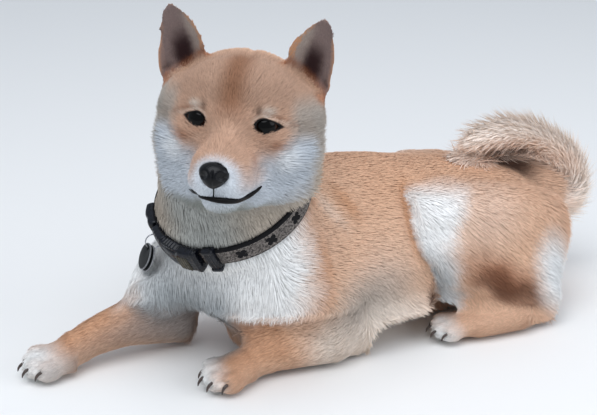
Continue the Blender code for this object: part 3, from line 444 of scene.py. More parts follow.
nosePlan = {"half": (0.0101, 0.0080, 0.0089), "at": (-0.0019, -0.0692, -0.0275), "tip": -14}
local = (points @ inHead[:3, :3].T + inHead[:3, 3]) * 1000
noseReach = np.sqrt(sum(((local[:, k] - nosePlan["at"][k] * 1000) / (nosePlan["half"][k] * 1000)) ** 2 for k in (0, 2)))
atNose = (local[:, 1] < -52) * isHead
behindPad = np.maximum(local[:, 1], nosePlan["at"][1] * 1000 + 1.5)
shift = (behindPad - local[:, 1]) * atNose * step(1.12, 0.92, noseReach)
points = points + np.outer(shift / 1000, np.array(headPlace.to_3x3() @ Vector((0, 1, 0))))
for mirror in (-1, 1):  # the lids lie over the eyeball, and the skin inside their opening lies behind it
    place = eyePlace(mirror)
    inEye = np.array(place.inverted())
    seen = points @ inEye[:3, :3].T + inEye[:3, 3]
    away = np.linalg.norm(seen, axis=1)
    reach = almondReach(seen[:, 0] * mirror * 1000, seen[:, 2] * 1000, mirror)
    lid = head["eyeRadius"] + skin["lidOver"]
    over = np.maximum(away, lid)
    behind = head["eyeRadius"] - 0.0009
    wanted = behind + (over - behind) * step(0.96, 1.16, reach)
    near = (away < skin["eyeZone"]) & (seen[:, 1] < -0.003)
    seen = np.where(near[:, None], seen / away[:, None] * wanted[:, None], seen)
    points = seen @ np.array(place)[:3, :3].T + np.array(place)[:3, 3]
skinMesh.vertices.foreach_set("co", points.astype(np.float32).ravel())
skinMesh.update()
local = (points @ inHead[:3, :3].T + inHead[:3, 3]) * 1000
print("skin drawn in")


# The coat's markings, with painted shade in places, from soft patches in the head's axes and the body's

# Painted shade among these: the grey-green throat colour, the chest shade, the dark low-thigh brown and the near-black
# hollow brown. The blue-grey cheek white is white darkened by painted shade, and the rust brown is coat colour in some
# places and painted shade in others.
coatHex = {"red": "#DAB193", "beige": "#E3CAB8", "deepRed": "#C0875D", "cream": "#EEE0D1", "white": "#F5F4F1",
           "faceTan": "#C29C83", "forehead": "#AE8D77", "stripe": "#84573A", "shadedCheekWhite": "#BFC5CB", "cheekGrey": "#A69E94",
           "snoutWhite": "#DEE3E8", "browSpot": "#D3C7B9", "neckTan": "#B9A793", "throat": "#7E8077", "chestShade": "#9BA1A3",
           "rustAndShade": "#8F5A3C", "lowThighShade": "#5C3520", "hollowShade": "#3B1F12", "tailPeach": "#FFE7D4", "tailWhite": "#FFF6EC",
           "earInside": "#8F7C77", "earDeep": "#321B1D", "earTuft": "#B5A69B", "earRust": "#A4643C",
           "dark": "#2B1A16", "lidDark": "#150D0C"}


def paint(colours, name, amount):
    colours += (np.array(linear(coatHex[name])) - colours) * np.clip(amount, 0, 1)[:, None]


def coatColours(points, local, normals, isHead, isEar, inTail):
    x, y, z = points.T * 1000
    hx, hy, hz = local.T
    side = np.abs(hx)
    colours = np.tile(linear(coatHex["red"]), (len(points), 1))
    headward = step(0.25, 0.75, isHead)
    bodyOnly = (1 - headward) * (1 - isEar) * (1 - inTail)
    mirrored = np.column_stack([np.abs(x - midX * 1000), y, z])
    drift = 2.2 * np.sin(x / 5 + y / 9) + 2.0 * np.sin(z / 6 - y / 7 + 1) + 1.2 * np.sin((x + z) / 2.6)  # ragged borders

    # Body: red back and flank, white chest, thigh front and buttock, cream belly and toes; painted shade low on the
    # chest, the thigh patch and the buttock, on the lower thigh, by the belly and deep in the tail's curl
    paint(colours, "deepRed", 0.30 * bodyOnly * step(100, 130, z) * step(-20, 60, y))
    paint(colours, "beige", 0.55 * bodyOnly * blob(mirrored, (58, 120, 104), (40, 60, 52), 0.9))
    paint(colours, "beige", 0.5 * bodyOnly * blob(mirrored, (60, 30, 66), (40, 52, 44), 0.9))
    paint(colours, "cheekGrey", 0.85 * bodyOnly * blob(mirrored, (62, 24, 48), (38, 70, 42), 0.8))
    paint(colours, "deepRed", 0.65 * bodyOnly * np.exp(-((foldNear - 4) / 6) ** 2) * (foldSide < 0) * step(60, 90, z))
    paint(colours, "faceTan", 0.7 * bodyOnly * blob(mirrored, (58, -24, 112), (34, 32, 42), 0.9))
    leaning = np.column_stack([mirrored[:, 0], y + 0.5 * (z - 130), z])
    paint(colours, "deepRed", 0.6 * bodyOnly * blob(leaning, (38, 8, 130), (28, 10, 27), 0.9))
    paint(colours, "cream", 0.35 * bodyOnly * blob(leaning, (42, -8, 128), (28, 8, 26), 0.9))
    paint(colours, "deepRed", 0.5 * bodyOnly * blob(mirrored, (60, -22, 90), (24, 10, 46), 0.9))
    foreleg = step(-30, -50, y) * step(62, 46, z)
    paint(colours, "deepRed", 0.55 * bodyOnly * foreleg * step(8, 26, z))
    throat = step(-34, -68, y - 0.35 * (x - 20) + drift) * step(40, 66, z + drift)
    paint(colours, "white", bodyOnly * np.maximum(throat, blob(points * 1000 + drift[:, None], (46, -58, 88), (31, 46, 42), 0.7)))
    paint(colours, "chestShade", 0.9 * bodyOnly * step(-60, -80, y) * step(104, 60, z) * step(44, 20, np.abs(x - 4)))
    paint(colours, "deepRed", 0.45 * bodyOnly * blob(points * 1000, (62, -26, 62), (14, 16, 44), 0.9))
    paint(colours, "cream", bodyOnly * step(56, 26, z) * step(-40, -10, y) * step(95, 65, y) * 0.85)
    behindFold = (foldSide > -0.0005) * step(129, 118, z) * step(20, 30, mirrored[:, 0])
    reach = 13 + 24 * step(62, 122, z)
    paint(colours, "white", bodyOnly * behindFold * step(reach + 14, reach - 15, foldNear + drift))
    paint(colours, "chestShade", 0.75 * bodyOnly * behindFold * step(reach + 14, reach - 15, foldNear + drift) * step(98, 60, z))
    # painted shade on the lower thigh: a slanting rust-brown patch with a darker brown one low in it
    slanted = np.column_stack([mirrored[:, 0], y, z + 0.48 * (y - 133) + drift])
    paint(colours, "rustAndShade", 0.9 * bodyOnly * blob(slanted, (82, 130, 54), (38, 58, 29), 0.9))
    paint(colours, "lowThighShade", 0.75 * bodyOnly * blob(slanted, (84, 138, 47), (36, 48, 17), 0.65))
    paint(colours, "white", bodyOnly * blob(mirrored, (84, 190, 48), (38, 34, 50), 0.75))
    paint(colours, "chestShade", 0.3 * bodyOnly * blob(mirrored, (84, 190, 48), (38, 34, 50), 0.75))
    paint(colours, "red", bodyOnly * blob(mirrored, (72, 140, 14), (34, 56, 16), 0.5))
    # painted shade in the gap where the belly meets the thigh
    paint(colours, "hollowShade", 0.85 * bodyOnly * blob(mirrored, (58, 84, 40), (12, 11, 17), 0.7))
    paint(colours, "white", bodyOnly * blob(mirrored, (64, 88, 8), (28, 24, 20), 0.8))
    for toes, reach in (((40, -106, 10), (28, 22, 22)), ((-46, -206, 12), (32, 34, 26))):
        paint(colours, "white", bodyOnly * blob(points * 1000, toes, reach, 0.8))
    # painted shade deep in the tail's curl, with a tan edge round it
    deepest = np.exp(-(np.linalg.norm(points * 1000 - (8, 198, 114), axis=1) / 26) ** 4)
    paint(colours, "faceTan", 0.35 * bodyOnly * step(21, 15, hollowNear) * step(205, 222, y))
    paint(colours, "hollowShade", 0.95 * (1 - headward) * (1 - inTail) * step(21, 14, hollowNear) * step(76, 92, z) * deepest)

    # Neck: grey-tan at the sides, white at the throat under painted shade from the head
    neckSide = step(0.2, 0.75, np.abs((points - np.array(collar["centre"])) @ np.array(collar["side"])) / 0.056)
    aboveBand = (points - np.array(collar["centre"])) @ np.array(collar["up"])
    offNape = step(-0.046, -0.012, (points - np.array(collar["centre"])) @ np.array(collar["front"]))  # the nape stays red
    # painted shade on the throat under the head, above the band
    paint(colours, "throat", 0.75 * bodyOnly * offNape * step(-0.006, 0.004, aboveBand))
    paint(colours, "neckTan", 0.75 * bodyOnly * offNape * neckSide * step(-0.004, 0.008, aboveBand))

    # Head: grey-tan forehead with a deeper stripe, white cheeks, muzzle and chin, peach bridge; painted shade greys the
    # cheeks, lies under the chin and beside the muzzle
    sided = leftSided(local)
    paint(colours, "faceTan", headward * step(18, -12, hy))
    paint(colours, "forehead", 0.8 * headward * step(9, 24, hz) * step(20, -12, hy))
    edge = -14 + 11 * step(28, 42, side) - 12 * step(46, 56, side)
    white = step(edge + 7, edge - 8, hz) * step(15, 28, side)
    paint(colours, "cheekGrey", 0.85 * headward * step(34, 44, side) * step(-30, -8, hz) * step(30, 14, hz))
    # the cheek white is a blue-grey, white darkened by painted shade, and below the jaw it stands for shade under the
    # head
    paint(colours, "shadedCheekWhite", headward * white)
    paint(colours, "shadedCheekWhite", headward * step(-28, -42, hz))
    paint(colours, "cheekGrey", 0.85 * headward * offNape * step(45, 54, side + 0.6 * drift))
    paint(colours, "neckTan", 0.75 * headward * step(44, 53, side + 0.6 * drift) * step(-12, -24, hz))
    paint(colours, "white", 0.5 * headward * blob(sided, (37, -31, -17), (11, 14, 13), 0.9))
    paint(colours, "snoutWhite", headward * blob(local, (0, -62, -36), (24, 27, 24), 0.6))
    # painted shade under the chin and low on the head above the collar, where the head shades the throat
    paint(colours, "throat", 0.9 * headward * step(-46, -54, hz + 0.4 * drift))
    lowHead = headward * offNape * step(0.044, 0.016, aboveBand + 0.0006 * drift)
    paint(colours, "throat", 0.85 * lowHead * step(46, 34, side))
    paint(colours, "neckTan", 0.85 * lowHead * step(34, 46, side))
    bridge = step(16, 9, side) * step(-24, -14, hz) * step(-20, -35, hy) * step(16, 8, hz)
    paint(colours, "faceTan", headward * bridge)
    paint(colours, "snoutWhite", headward * blob(local, (-1.5, -70, -28), (20, 13, 15.5), 0.5))
    paint(colours, "stripe", 0.80 * headward * step(15, 1, side) * step(0, 18, hz) * step(60, 44, hz) * step(4, -14, hy))
    # painted shade, rust-brown, where the muzzle meets the cheek
    paint(colours, "rustAndShade", 0.55 * headward * blob(sided, (20.5, -47, -15), (5.5, 13, 15), 0.9))
    paint(colours, "browSpot", 0.8 * headward * blob(sided, (25, -39, 14.2), (8.0, 9, 4.6), 0.8))
    paint(colours, "dark", 0.8 * headward * blob(sided, (17.8, -41, 14.0), (2.8, 7, 5.6), 0.9))
    paint(colours, "rustAndShade", 0.65 * headward * blob(sided, (31, -35, -8.0), (9, 10, 4.6), 0.9))
    paint(colours, "browSpot", 0.6 * headward * blob(sided, (20, -44, -7), (7, 10, 5.0), 0.9))
    paint(colours, "earRust", 0.85 * headward * blob(sided, (57, -2, 27), (9, 14, 10), 0.8))

    # Ears: red backs and thin rims, grey-mauve insides, dark low in the middle, pale tufts by the inner edge
    ahead = -(normals @ inHead[:3, :3].T)[:, 1]
    up, across = earPlaces(sided)
    inside = isEar * step(-0.10, 0.25, ahead + 0.75 * step(0, -0.6, across) + 0.30 * step(0.4, 0.8, across)) * step(1.02, 0.94, np.abs(across)) * step(1.0, 0.95, up)
    paint(colours, "deepRed", 0.7 * isEar)
    paint(colours, "earInside", inside)
    paint(colours, "earDeep", inside * step(-0.62, -0.20, across) * step(0.55, 0.20, across) * step(0.66, 0.34, up))
    paint(colours, "earTuft", 0.85 * inside * step(0.30, 0.62, across) * step(0.85, 0.55, up) * step(0.0, 0.12, up))
    paint(colours, "earRust", 0.9 * isEar * step(0.20, 0.10, up) * step(-0.2, 0.3, ahead))
    paint(colours, "dark", 0.8 * inside * blob(np.column_stack([up, across, up * 0]), (0.21, -0.72, 0), (0.06, 0.2, 1), 0.8))

    # Tail: white outer side, peach sides, red-brown inner side of the curl that is partly painted shade, and painted
    # shade deep in the curl
    curl = np.array([0.012, 0.205, 0.095])
    inward = ((curl - points) * normals).sum(1) / np.linalg.norm(curl - points, axis=1)
    paint(colours, "tailPeach", inTail)
    paint(colours, "red", 0.12 * inTail * step(0.35, -0.05, np.abs(normals[:, 0]) - 0.5))
    paint(colours, "tailWhite", 0.7 * inTail * step(0.0, -0.7, inward))
    paint(colours, "tailWhite", 0.85 * (1 - headward) * blob(points * 1000, (34, 263, 70), (32, 22, 40), 0.9))
    # the curl's inner side: rust brown that is partly coat colour and partly painted shade, and painted shade deepest
    # in the curl
    paint(colours, "rustAndShade", 0.85 * inTail * step(0.1, 0.75, inward) * deepest)
    paint(colours, "hollowShade", 0.9 * inTail * step(0.4, 0.85, inward) * deepest)
    return np.clip(colours, 0, 1)


def leftSided(local):  # both sides of the head alike, as the dog's left
    return np.column_stack([np.abs(local[:, 0]), local[:, 1:]])


normals = meshPoints(skinMesh, "normal")
isHeadSoft = evened(np.maximum(isHead, 0), edges, 6)
colours = coatColours(points, local, normals, isHeadSoft, evened(isEar, edges, 1), evened(inTail, edges, 4))
colours = evened(colours, edges, 1)
overBand = (points - np.array(collar["centre"])) @ np.array(collar["up"])
underChin = step(0.0, 0.006, overBand) * step(0.046, 0.034, overBand) * step(2.4, 2.2, np.linalg.norm(
    (points - np.array(collar["centre"])) @ np.column_stack([collar["side"], collar["front"]]), axis=1) / collar["halfWide"])
colours += (evened(colours, edges, 44) - colours) * underChin[:, None]
for sideOf in (-1, 1):
    inEye = np.array(eyePlace(sideOf).inverted())
    seen = (points @ inEye[:3, :3].T + inEye[:3, 3]) * 1000
    reach = almondReach(seen[:, 0] * sideOf, seen[:, 2], sideOf)
    facing = (seen[:, 1] < 4) * (np.abs(seen[:, 0]) < 24) * isHead
    above = (seen[:, 2] > 0.5) * facing
    paint(colours, "cream", 0.22 * above * step(1.15, 1.35, reach) * step(1.75, 1.55, reach))
    paint(colours, "rustAndShade", 0.50 * above * np.exp(-((reach - 1.72) / 0.13) ** 2) * step(-9, -3, seen[:, 0] * sideOf))
    paint(colours, "lidDark", facing * step(1.32, 1.14, reach))


# The lie of the coat, and its length and width, over the skin

def lieOfCoat():
    x, y, z = points.T
    down = np.array((0, 0.0, -1.0))
    back = np.array((0, 1.0, -0.30))
    low = step(0.10, 0.04, z)[:, None]
    lie = back * (1 - 0.5 * low) + down * 0.55 * low
    front = (step(-0.1, -0.6, normals[:, 1]) * step(0.0, -0.05, y))[:, None]
    lie = lie * (1 - front) + (down + normals * 0.0 + np.array((0.1, -0.15, 0))) * front
    neck = named("neck")[:, None]
    lie = lie * (1 - neck) + -np.array(collar["up"]) * neck
    fore = named("foreleg_left", "foreleg_right", "forepaw_left", "forepaw_right")[:, None]
    foreLie = np.array((-0.08, -1.0, -0.25)) * step(0.075, 0.05, z)[:, None] + down * step(0.05, 0.075, z)[:, None]
    lie = lie * (1 - fore) + foreLie * fore
    thigh = named("hindleg_left", "hindleg_right")[:, None]
    lie = lie * (1 - thigh) + np.array((0, 0.75, -0.75)) * thigh
    foot = named("hindpaw_left", "hindpaw_right")[:, None]
    lie = lie * (1 - foot) + np.array((0, -1.0, -0.15)) * foot
    toHead = np.array(headPlace.to_3x3())
    fromNose = (local - np.array((0, -92, -20))) / 1000
    fromNose[:, 2] += 0.004
    lie = lie * (1 - isHead[:, None]) + (fromNose @ toHead.T) * isHead[:, None] * 20
    earUp = toHead @ np.array((0.10, -0.05, 1.0))
    lie = lie * (1 - isEar[:, None]) + (earUp + toHead[:, 0] * (np.sign(local[:, 0]) * 0.4 * earAcross)[:, None]) * isEar[:, None]
    nearest = ((points[:, None, :] - tailLine[None]) ** 2).sum(2).argmin(1)
    ahead = tailLine[np.minimum(nearest + 1, len(tailLine) - 1)] - tailLine[np.maximum(nearest - 1, 0)]
    ahead /= np.linalg.norm(ahead, axis=1)[:, None]
    lie = lie * (1 - inTail[:, None]) + ahead * inTail[:, None]
    lie = evened(lie, edges, 6)
    lie -= (lie * normals).sum(1)[:, None] * normals
    return lie / np.maximum(np.linalg.norm(lie, axis=1)[:, None], 1e-6)


lie = lieOfCoat()
forehead = isHead * step(0, 20, local[:, 2])
ahead = -(normals @ inHead[:3, :3].T)[:, 1]
earFront = isEar * step(0.2, 0.6, ahead)
chestFront = named("torso") * step(-0.02, -0.06, points[:, 1])
buttock = named("hindleg_left", "hindleg_right") * step(0.17, 0.21, points[:, 1])
# Millimetres: each hair lock's length and width
long = table({"torso": 10.5, "neck": 13, "head": 6.0, "ear_left": 2.0, "ear_right": 2.0, "foreleg_left": 6.5,
              "foreleg_right": 6.5, "hindleg_left": 9, "hindleg_right": 9}, 4.0)
long = long + 8 * cheek - 3.2 * muzzle - 1.0 * forehead + 4 * chestFront + 7 * buttock
long = long * (1 - 0.62 * np.exp(-(foldNear / 9) ** 2) * (foldSide < 0.004))
long = long * (1 - inTail) + 20 * inTail
long = long * (1 - inHollow) + 13 * inHollow
long = long + 3.5 * earFront * step(0.45, 0.8, earAcross) * step(0.8, 0.5, earUp)
wide = table({"torso": 0.85, "neck": 0.85, "head": 0.60, "ear_left": 0.5, "ear_right": 0.5, "foreleg_left": 0.75,
              "foreleg_right": 0.75, "hindleg_left": 0.82, "hindleg_right": 0.82}, 0.6)
wide = wide + 0.15 * cheek - 0.15 * muzzle
wide = wide * (1 - inTail) + 0.8 * inTail
long, wide = evened(long, edges, 10), evened(wide, edges, 10)

# Bare places: eyes, nose, mouth, under the collar
cover = np.ones(len(points))
for mirror in (-1, 1):
    inEye = np.array(eyePlace(mirror).inverted())
    seen = (points @ inEye[:3, :3].T + inEye[:3, 3]) * 1000
    sx = seen[:, 0] * mirror
    reach = almondReach(sx, seen[:, 2], mirror)
    inFront = (seen[:, 1] < 5) * (np.abs(seen[:, 0]) < 30) * isHead
    cover[(reach < 1.20) & (inFront > 0)] = 0
    near = np.exp(-np.maximum(reach - 1.1, 0) * 1.3) * inFront
    long = long * (1 - 0.72 * near)
    wide = wide * (1 - 0.35 * near)
nosePad = np.where(local[:, 1] < -52, noseReach / 1.06, 9)
cover[nosePad < 1] = 0
cover[byClaw > 0.5] = 0


def lipHeight(across):  # where the lips meet, in the head's own axes and millimetres
    return -44.3 + 8.0 * (np.maximum(across - 12, 0) / 13) ** 2 - 1.7 * (np.maximum(-5 - across, 0) / 21) ** 2


offLips = np.where((np.abs(local[:, 0] + 1) < 27) & (local[:, 1] < -26), np.abs(local[:, 2] - lipHeight(local[:, 0])), 99)
cover[offLips < 1.7] = 0
long = np.where(offLips < 6, np.minimum(long, 1.6 + np.maximum(offLips - 1.4, 0) * 0.7), long)
offCollar = (points - np.array(collar["centre"])) @ np.array(collar["up"])
ring = (points - np.array(collar["centre"])) @ np.column_stack([collar["side"], collar["front"]])
ringReach = np.sqrt((ring[:, 0] / collar["halfWide"]) ** 2 + (ring[:, 1] / collar["halfDeep"]) ** 2)
nearBand = (ringReach > 0.6) & (ringReach < 1.25)
cover[nearBand & (np.abs(offCollar) < 0.0068) & (points[:, 2] < 0.185)] = 0
ringAngle = np.degrees(np.arctan2(ring[:, 1] / collar["halfDeep"], ring[:, 0] / collar["halfWide"]))
justAbove = nearBand & (offCollar > 0.0060) & (offCollar < 0.030) & (points[:, 2] < 0.2) & (ringAngle > -15) & (ringAngle < 150)
long = np.where(justAbove, np.minimum(long, 2.4 + (offCollar * 1000 - 6) * 0.8), long)
long = np.where(nosePad < 1.6, np.minimum(long, 1.8 + (nosePad - 1) * 4), long)
cover[points[:, 2] < 0.0030] = 0
long = long * (0.45 + 0.55 * step(0.002, 0.009, points[:, 2]))
byTagNow = np.sqrt(((points - np.array(tagMiddle)) ** 2).sum(1))
long = np.where(byTagNow < 0.03, np.minimum(long, 3.5 + np.maximum(byTagNow - 0.016, 0) * 500), long)


def setAttribute(mesh, name, kind, values):
    made = mesh.attributes.new(name, kind, "POINT")
    key = {"FLOAT": "value", "FLOAT_VECTOR": "vector", "FLOAT_COLOR": "color"}[kind]
    made.data.foreach_set(key, np.asarray(values, np.float32).ravel())


setAttribute(skinMesh, "coatColour", "FLOAT_COLOR", np.column_stack([colours, np.ones(len(colours))]))
setAttribute(skinMesh, "lie", "FLOAT_VECTOR", lie)
setAttribute(skinMesh, "hairLong", "FLOAT", long / 1000)
setAttribute(skinMesh, "hairWide", "FLOAT", wide / 1000)
print("markings and lie of the coat set")

# The skin's unwrap, which the hair locks' own patches follow
bpy.context.view_layer.objects.active = skinObject
skinObject.select_set(True)
skinMesh.uv_layers.new(name="OFBake")
bpy.ops.object.mode_set(mode="EDIT")
bpy.ops.mesh.select_all(action="SELECT")
bpy.ops.uv.smart_project(angle_limit=math.radians(66), island_margin=0.002, area_weight=0.0)
bpy.ops.object.mode_set(mode="OBJECT")
skinObject.select_set(False)
print("skin unwrapped")


# Coat material: dog hair, matt with a soft sheen, with painted shade that makes each lock darker at its root, between
# the locks, than at its tip

def coatMaterial(name, isSkin):
    made, tree, shader = newMaterial(name, coatHex["red"], 0.72)
    shader.inputs["Sheen Weight"].default_value = 0.10
    shader.inputs["Sheen Roughness"].default_value = 0.5
    shader.inputs["Specular IOR Level"].default_value = 0.22
    colour = addNode(tree, "ShaderNodeAttribute", {"attribute_name": "coatColour"})
    if isSkin:
        place = addNode(tree, "ShaderNodeTexCoord")
        strands = addNode(tree, "ShaderNodeTexNoise", values={"Scale": 900, "Detail": 3},
                          links={"Vector": place.outputs["Object"]})
        bump = addNode(tree, "ShaderNodeBump", values={"Strength": 0.6, "Distance": 0.0006},
                       links={"Height": strands.outputs["Fac"]})
        tree.links.new(bump.outputs["Normal"], shader.inputs["Normal"])
        shade = addNode(tree, "ShaderNodeMapRange", values={"From Min": 0.3, "From Max": 0.7, "To Min": 0.86, "To Max": 1.0},
                        links={"Value": strands.outputs["Fac"]})
        amount = shade.outputs["Result"]
    else:
        along = addNode(tree, "ShaderNodeAttribute", {"attribute_name": "alongHair"})
        hair = addNode(tree, "ShaderNodeAttribute", {"attribute_name": "hairShade"})
        # painted shade: each lock darker at its root, where the locks shade each other, and lighter at its tip
        rise = addNode(tree, "ShaderNodeMapRange", values={"To Min": 0.84, "To Max": 1.06},
                       links={"Value": along.outputs["Fac"]})
        tone = addNode(tree, "ShaderNodeMapRange", values={"To Min": 0.86, "To Max": 1.12},
                       links={"Value": hair.outputs["Fac"]})
        amount = addNode(tree, "ShaderNodeMath", {"operation": "MULTIPLY"},
                         links={0: rise.outputs["Result"], 1: tone.outputs["Result"]}).outputs[0]
    mixed = addNode(tree, "ShaderNodeVectorMath", {"operation": "SCALE"},
                    links={0: colour.outputs["Color"], "Scale": amount})
    tree.links.new(mixed.outputs[0], shader.inputs["Base Color"])
    return made


finishPiece(skinObject, fleshNodes + tailNodes, coatMaterial("skinUnderCoat", True))


# Hair locks: one small bent, pointed solid, set over the skin by Geometry Nodes

def hairLock(name, widest, bend, tipLift):
    # root and tip are points, with a low three-cornered ring between them; its under side has sharp edges
    bm = bmesh.new()
    root = bm.verts.new((-0.2, 0, 0))
    ring = [bm.verts.new((bend + 0.3 * c[0], 0.5 * c[1], widest)) for c in ((-0.35, -1), (-0.35, 1), (0.25, 0))]
    tip = bm.verts.new((tipLift, 0, 1))
    for k in range(3):
        bm.faces.new((ring[k], ring[(k + 1) % 3], tip))
        bm.faces.new((ring[(k + 1) % 3], ring[k], root))
    for edge in bm.edges:
        edge.smooth = ring[2] in edge.verts
    made = fromBmesh(name, bm)
    mesh = made.data
    places = meshPoints(mesh)
    setAttribute(mesh, "alongHair", "FLOAT", places[:, 2])
    setAttribute(mesh, "lockPlace", "FLOAT_VECTOR", np.column_stack([places[:, 1] * 0.8, places[:, 2] - 0.5, places[:, 2] * 0]))
    made.hide_render = True
    made.hide_viewport = True
    return made


def coatTree():
    tree = bpy.data.node_groups.new("coatLocks", "GeometryNodeTree")
    face = tree.interface
    face.new_socket("Geometry", in_out="INPUT", socket_type="NodeSocketGeometry")
    for name, kind in (("Lock", "NodeSocketObject"), ("Seed", "NodeSocketInt"), ("Per Square Metre", "NodeSocketFloat"),
                       ("Lift", "NodeSocketFloat"), ("Stray", "NodeSocketFloat"), ("Longer", "NodeSocketFloat"),
                       ("Wider", "NodeSocketFloat"), ("Patch", "NodeSocketFloat"), ("Material", "NodeSocketMaterial")):
        face.new_socket(name, in_out="INPUT", socket_type=kind)
    face.new_socket("Geometry", in_out="OUTPUT", socket_type="NodeSocketGeometry")
    source = addNode(tree, "NodeGroupInput").outputs

    read = {name: addNode(tree, "GeometryNodeInputNamedAttribute", {"data_type": kind}, {"Name": name}).outputs["Attribute"]
            for name, kind in (("cover", "FLOAT"), ("hairWide", "FLOAT"), ("hairLong", "FLOAT"), ("lie", "FLOAT_VECTOR"),
                               ("OFBake", "FLOAT_VECTOR"), ("rootUv", "FLOAT_VECTOR"), ("lockPlace", "FLOAT_VECTOR"))}
    seeds = {use: addNode(tree, "ShaderNodeMath", {"operation": "ADD"}, {1: shift}, {0: source["Seed"]}).outputs[0]
             for use, shift in (("stray", 11), ("wide", 23), ("tall", 37), ("tone", 51))}
    chance = {use: addNode(tree, "FunctionNodeRandomValue", {"data_type": "FLOAT"}, {2: low, 3: high}, {"Seed": seeds[use]}).outputs[1]
              for use, low, high in (("wide", 0.75, 1.25), ("tall", 0.72, 1.15), ("tone", 0, 1))}
    anyWay = addNode(tree, "FunctionNodeRandomValue", {"data_type": "FLOAT_VECTOR"}, {0: (-1, -1, -1), 1: (1, 1, 1)},
                     {"Seed": seeds["stray"]}).outputs[0]
    count = addNode(tree, "ShaderNodeMath", {"operation": "MULTIPLY"}, links={0: read["cover"], 1: source["Per Square Metre"]})
    roots = addNode(tree, "GeometryNodeDistributePointsOnFaces",
                    links={"Mesh": source["Geometry"], "Density": count.outputs[0], "Seed": source["Seed"]})
    normal = roots.outputs["Normal"]
    stray = addNode(tree, "ShaderNodeVectorMath", {"operation": "SCALE"}, links={0: anyWay, "Scale": source["Stray"]})
    raised = addNode(tree, "ShaderNodeVectorMath", {"operation": "SCALE"}, links={0: normal, "Scale": source["Lift"]})
    lifted = addNode(tree, "ShaderNodeVectorMath", {"operation": "ADD"}, links={0: read["lie"], 1: raised.outputs[0]})
    heading = addNode(tree, "ShaderNodeVectorMath", {"operation": "ADD"}, links={0: lifted.outputs[0], 1: stray.outputs[0]})
    first = addNode(tree, "FunctionNodeAlignRotationToVector", {"axis": "Z"}, links={"Vector": heading.outputs[0]})
    turned = addNode(tree, "FunctionNodeAlignRotationToVector", {"axis": "X", "pivot_axis": "Z"},
                     links={"Rotation": first.outputs[0], "Vector": normal})
    planned = addNode(tree, "ShaderNodeCombineXYZ", links={"X": read["hairWide"], "Y": read["hairWide"], "Z": read["hairLong"]})
    scaled = addNode(tree, "ShaderNodeCombineXYZ", links={"X": source["Wider"], "Y": source["Wider"], "Z": source["Longer"]})
    varied = addNode(tree, "ShaderNodeCombineXYZ", links={"X": chance["wide"], "Y": chance["wide"], "Z": chance["tall"]})
    even = addNode(tree, "ShaderNodeVectorMath", {"operation": "MULTIPLY"}, links={0: planned.outputs[0], 1: scaled.outputs[0]})
    size = addNode(tree, "ShaderNodeVectorMath", {"operation": "MULTIPLY"}, links={0: even.outputs[0], 1: varied.outputs[0]})
    keep = addNode(tree, "GeometryNodeStoreNamedAttribute", {"data_type": "FLOAT_VECTOR", "domain": "POINT"},
                   {"Name": "rootUv"}, {"Geometry": roots.outputs["Points"], "Value": read["OFBake"]})
    tone = addNode(tree, "GeometryNodeStoreNamedAttribute", {"data_type": "FLOAT", "domain": "POINT"},
                   {"Name": "hairShade"}, {"Geometry": keep.outputs[0], "Value": chance["tone"]})
    lock = addNode(tree, "GeometryNodeObjectInfo", links={"Object": source["Lock"]})
    placed = addNode(tree, "GeometryNodeInstanceOnPoints",
                     links={"Points": tone.outputs[0], "Instance": lock.outputs["Geometry"],
                            "Rotation": turned.outputs[0], "Scale": size.outputs[0]})
    real = addNode(tree, "GeometryNodeRealizeInstances", links={"Geometry": placed.outputs[0]})
    spread = addNode(tree, "ShaderNodeVectorMath", {"operation": "SCALE"}, links={0: read["lockPlace"], "Scale": source["Patch"]})
    patch = addNode(tree, "ShaderNodeVectorMath", {"operation": "ADD"}, links={0: read["rootUv"], 1: spread.outputs[0]})
    uv = addNode(tree, "GeometryNodeStoreNamedAttribute", {"data_type": "FLOAT2", "domain": "CORNER"},
                 {"Name": "OFBake"}, {"Geometry": real.outputs[0], "Value": patch.outputs[0]})
    end = uv.outputs[0]
    for name in ("rootUv", "lockPlace", "lie", "hairLong", "hairWide", "cover"):
        end = addNode(tree, "GeometryNodeRemoveAttribute", values={"Name": name}, links={"Geometry": end}).outputs[0]
    painted = addNode(tree, "GeometryNodeSetMaterial", links={"Geometry": end, "Material": source["Material"]})
    addNode(tree, "NodeGroupOutput", links={"Geometry": painted.outputs[0]})
    return tree


locksTree = coatTree()
hairMaterial = coatMaterial("dogHair", False)
shortLock = hairLock("shortLock", 0.42, 0.55, 0.10)
longLock = hairLock("longLock", 0.38, 0.90, -0.20)


def growCoat(name, where, lockObject, seed, **plan):
    carrier = newObject(name, skinMesh.copy())
    setAttribute(carrier.data, "cover", "FLOAT", np.clip(where, 0, 1) * cover)
    modifier = carrier.modifiers.new("Locks", "NODES")
    modifier.node_group = locksTree
    values = {"Lock": lockObject, "Seed": seed, "Patch": 0.003, "Material": hairMaterial,
              "Per Square Metre": plan["count"], "Lift": plan["lift"], "Stray": plan["stray"],
              "Longer": plan.get("longer", 1.0), "Wider": plan.get("wider", 1.0)}
    for item in locksTree.interface.items_tree:
        if item.item_type == "SOCKET" and item.in_out == "INPUT" and item.name in values:
            modifier[item.identifier] = values[item.name]
    settle(carrier)
    mesh = carrier.data
    places = meshPoints(mesh)
    places[:, 2] = np.maximum(places[:, 2], 0.0004)
    mesh.vertices.foreach_set("co", places.astype(np.float32).ravel())
    mesh.polygons.foreach_set("use_smooth", [True] * len(mesh.polygons))
    print("coat piece", name, len(mesh.polygons), "triangles")
    return finishPiece(carrier)


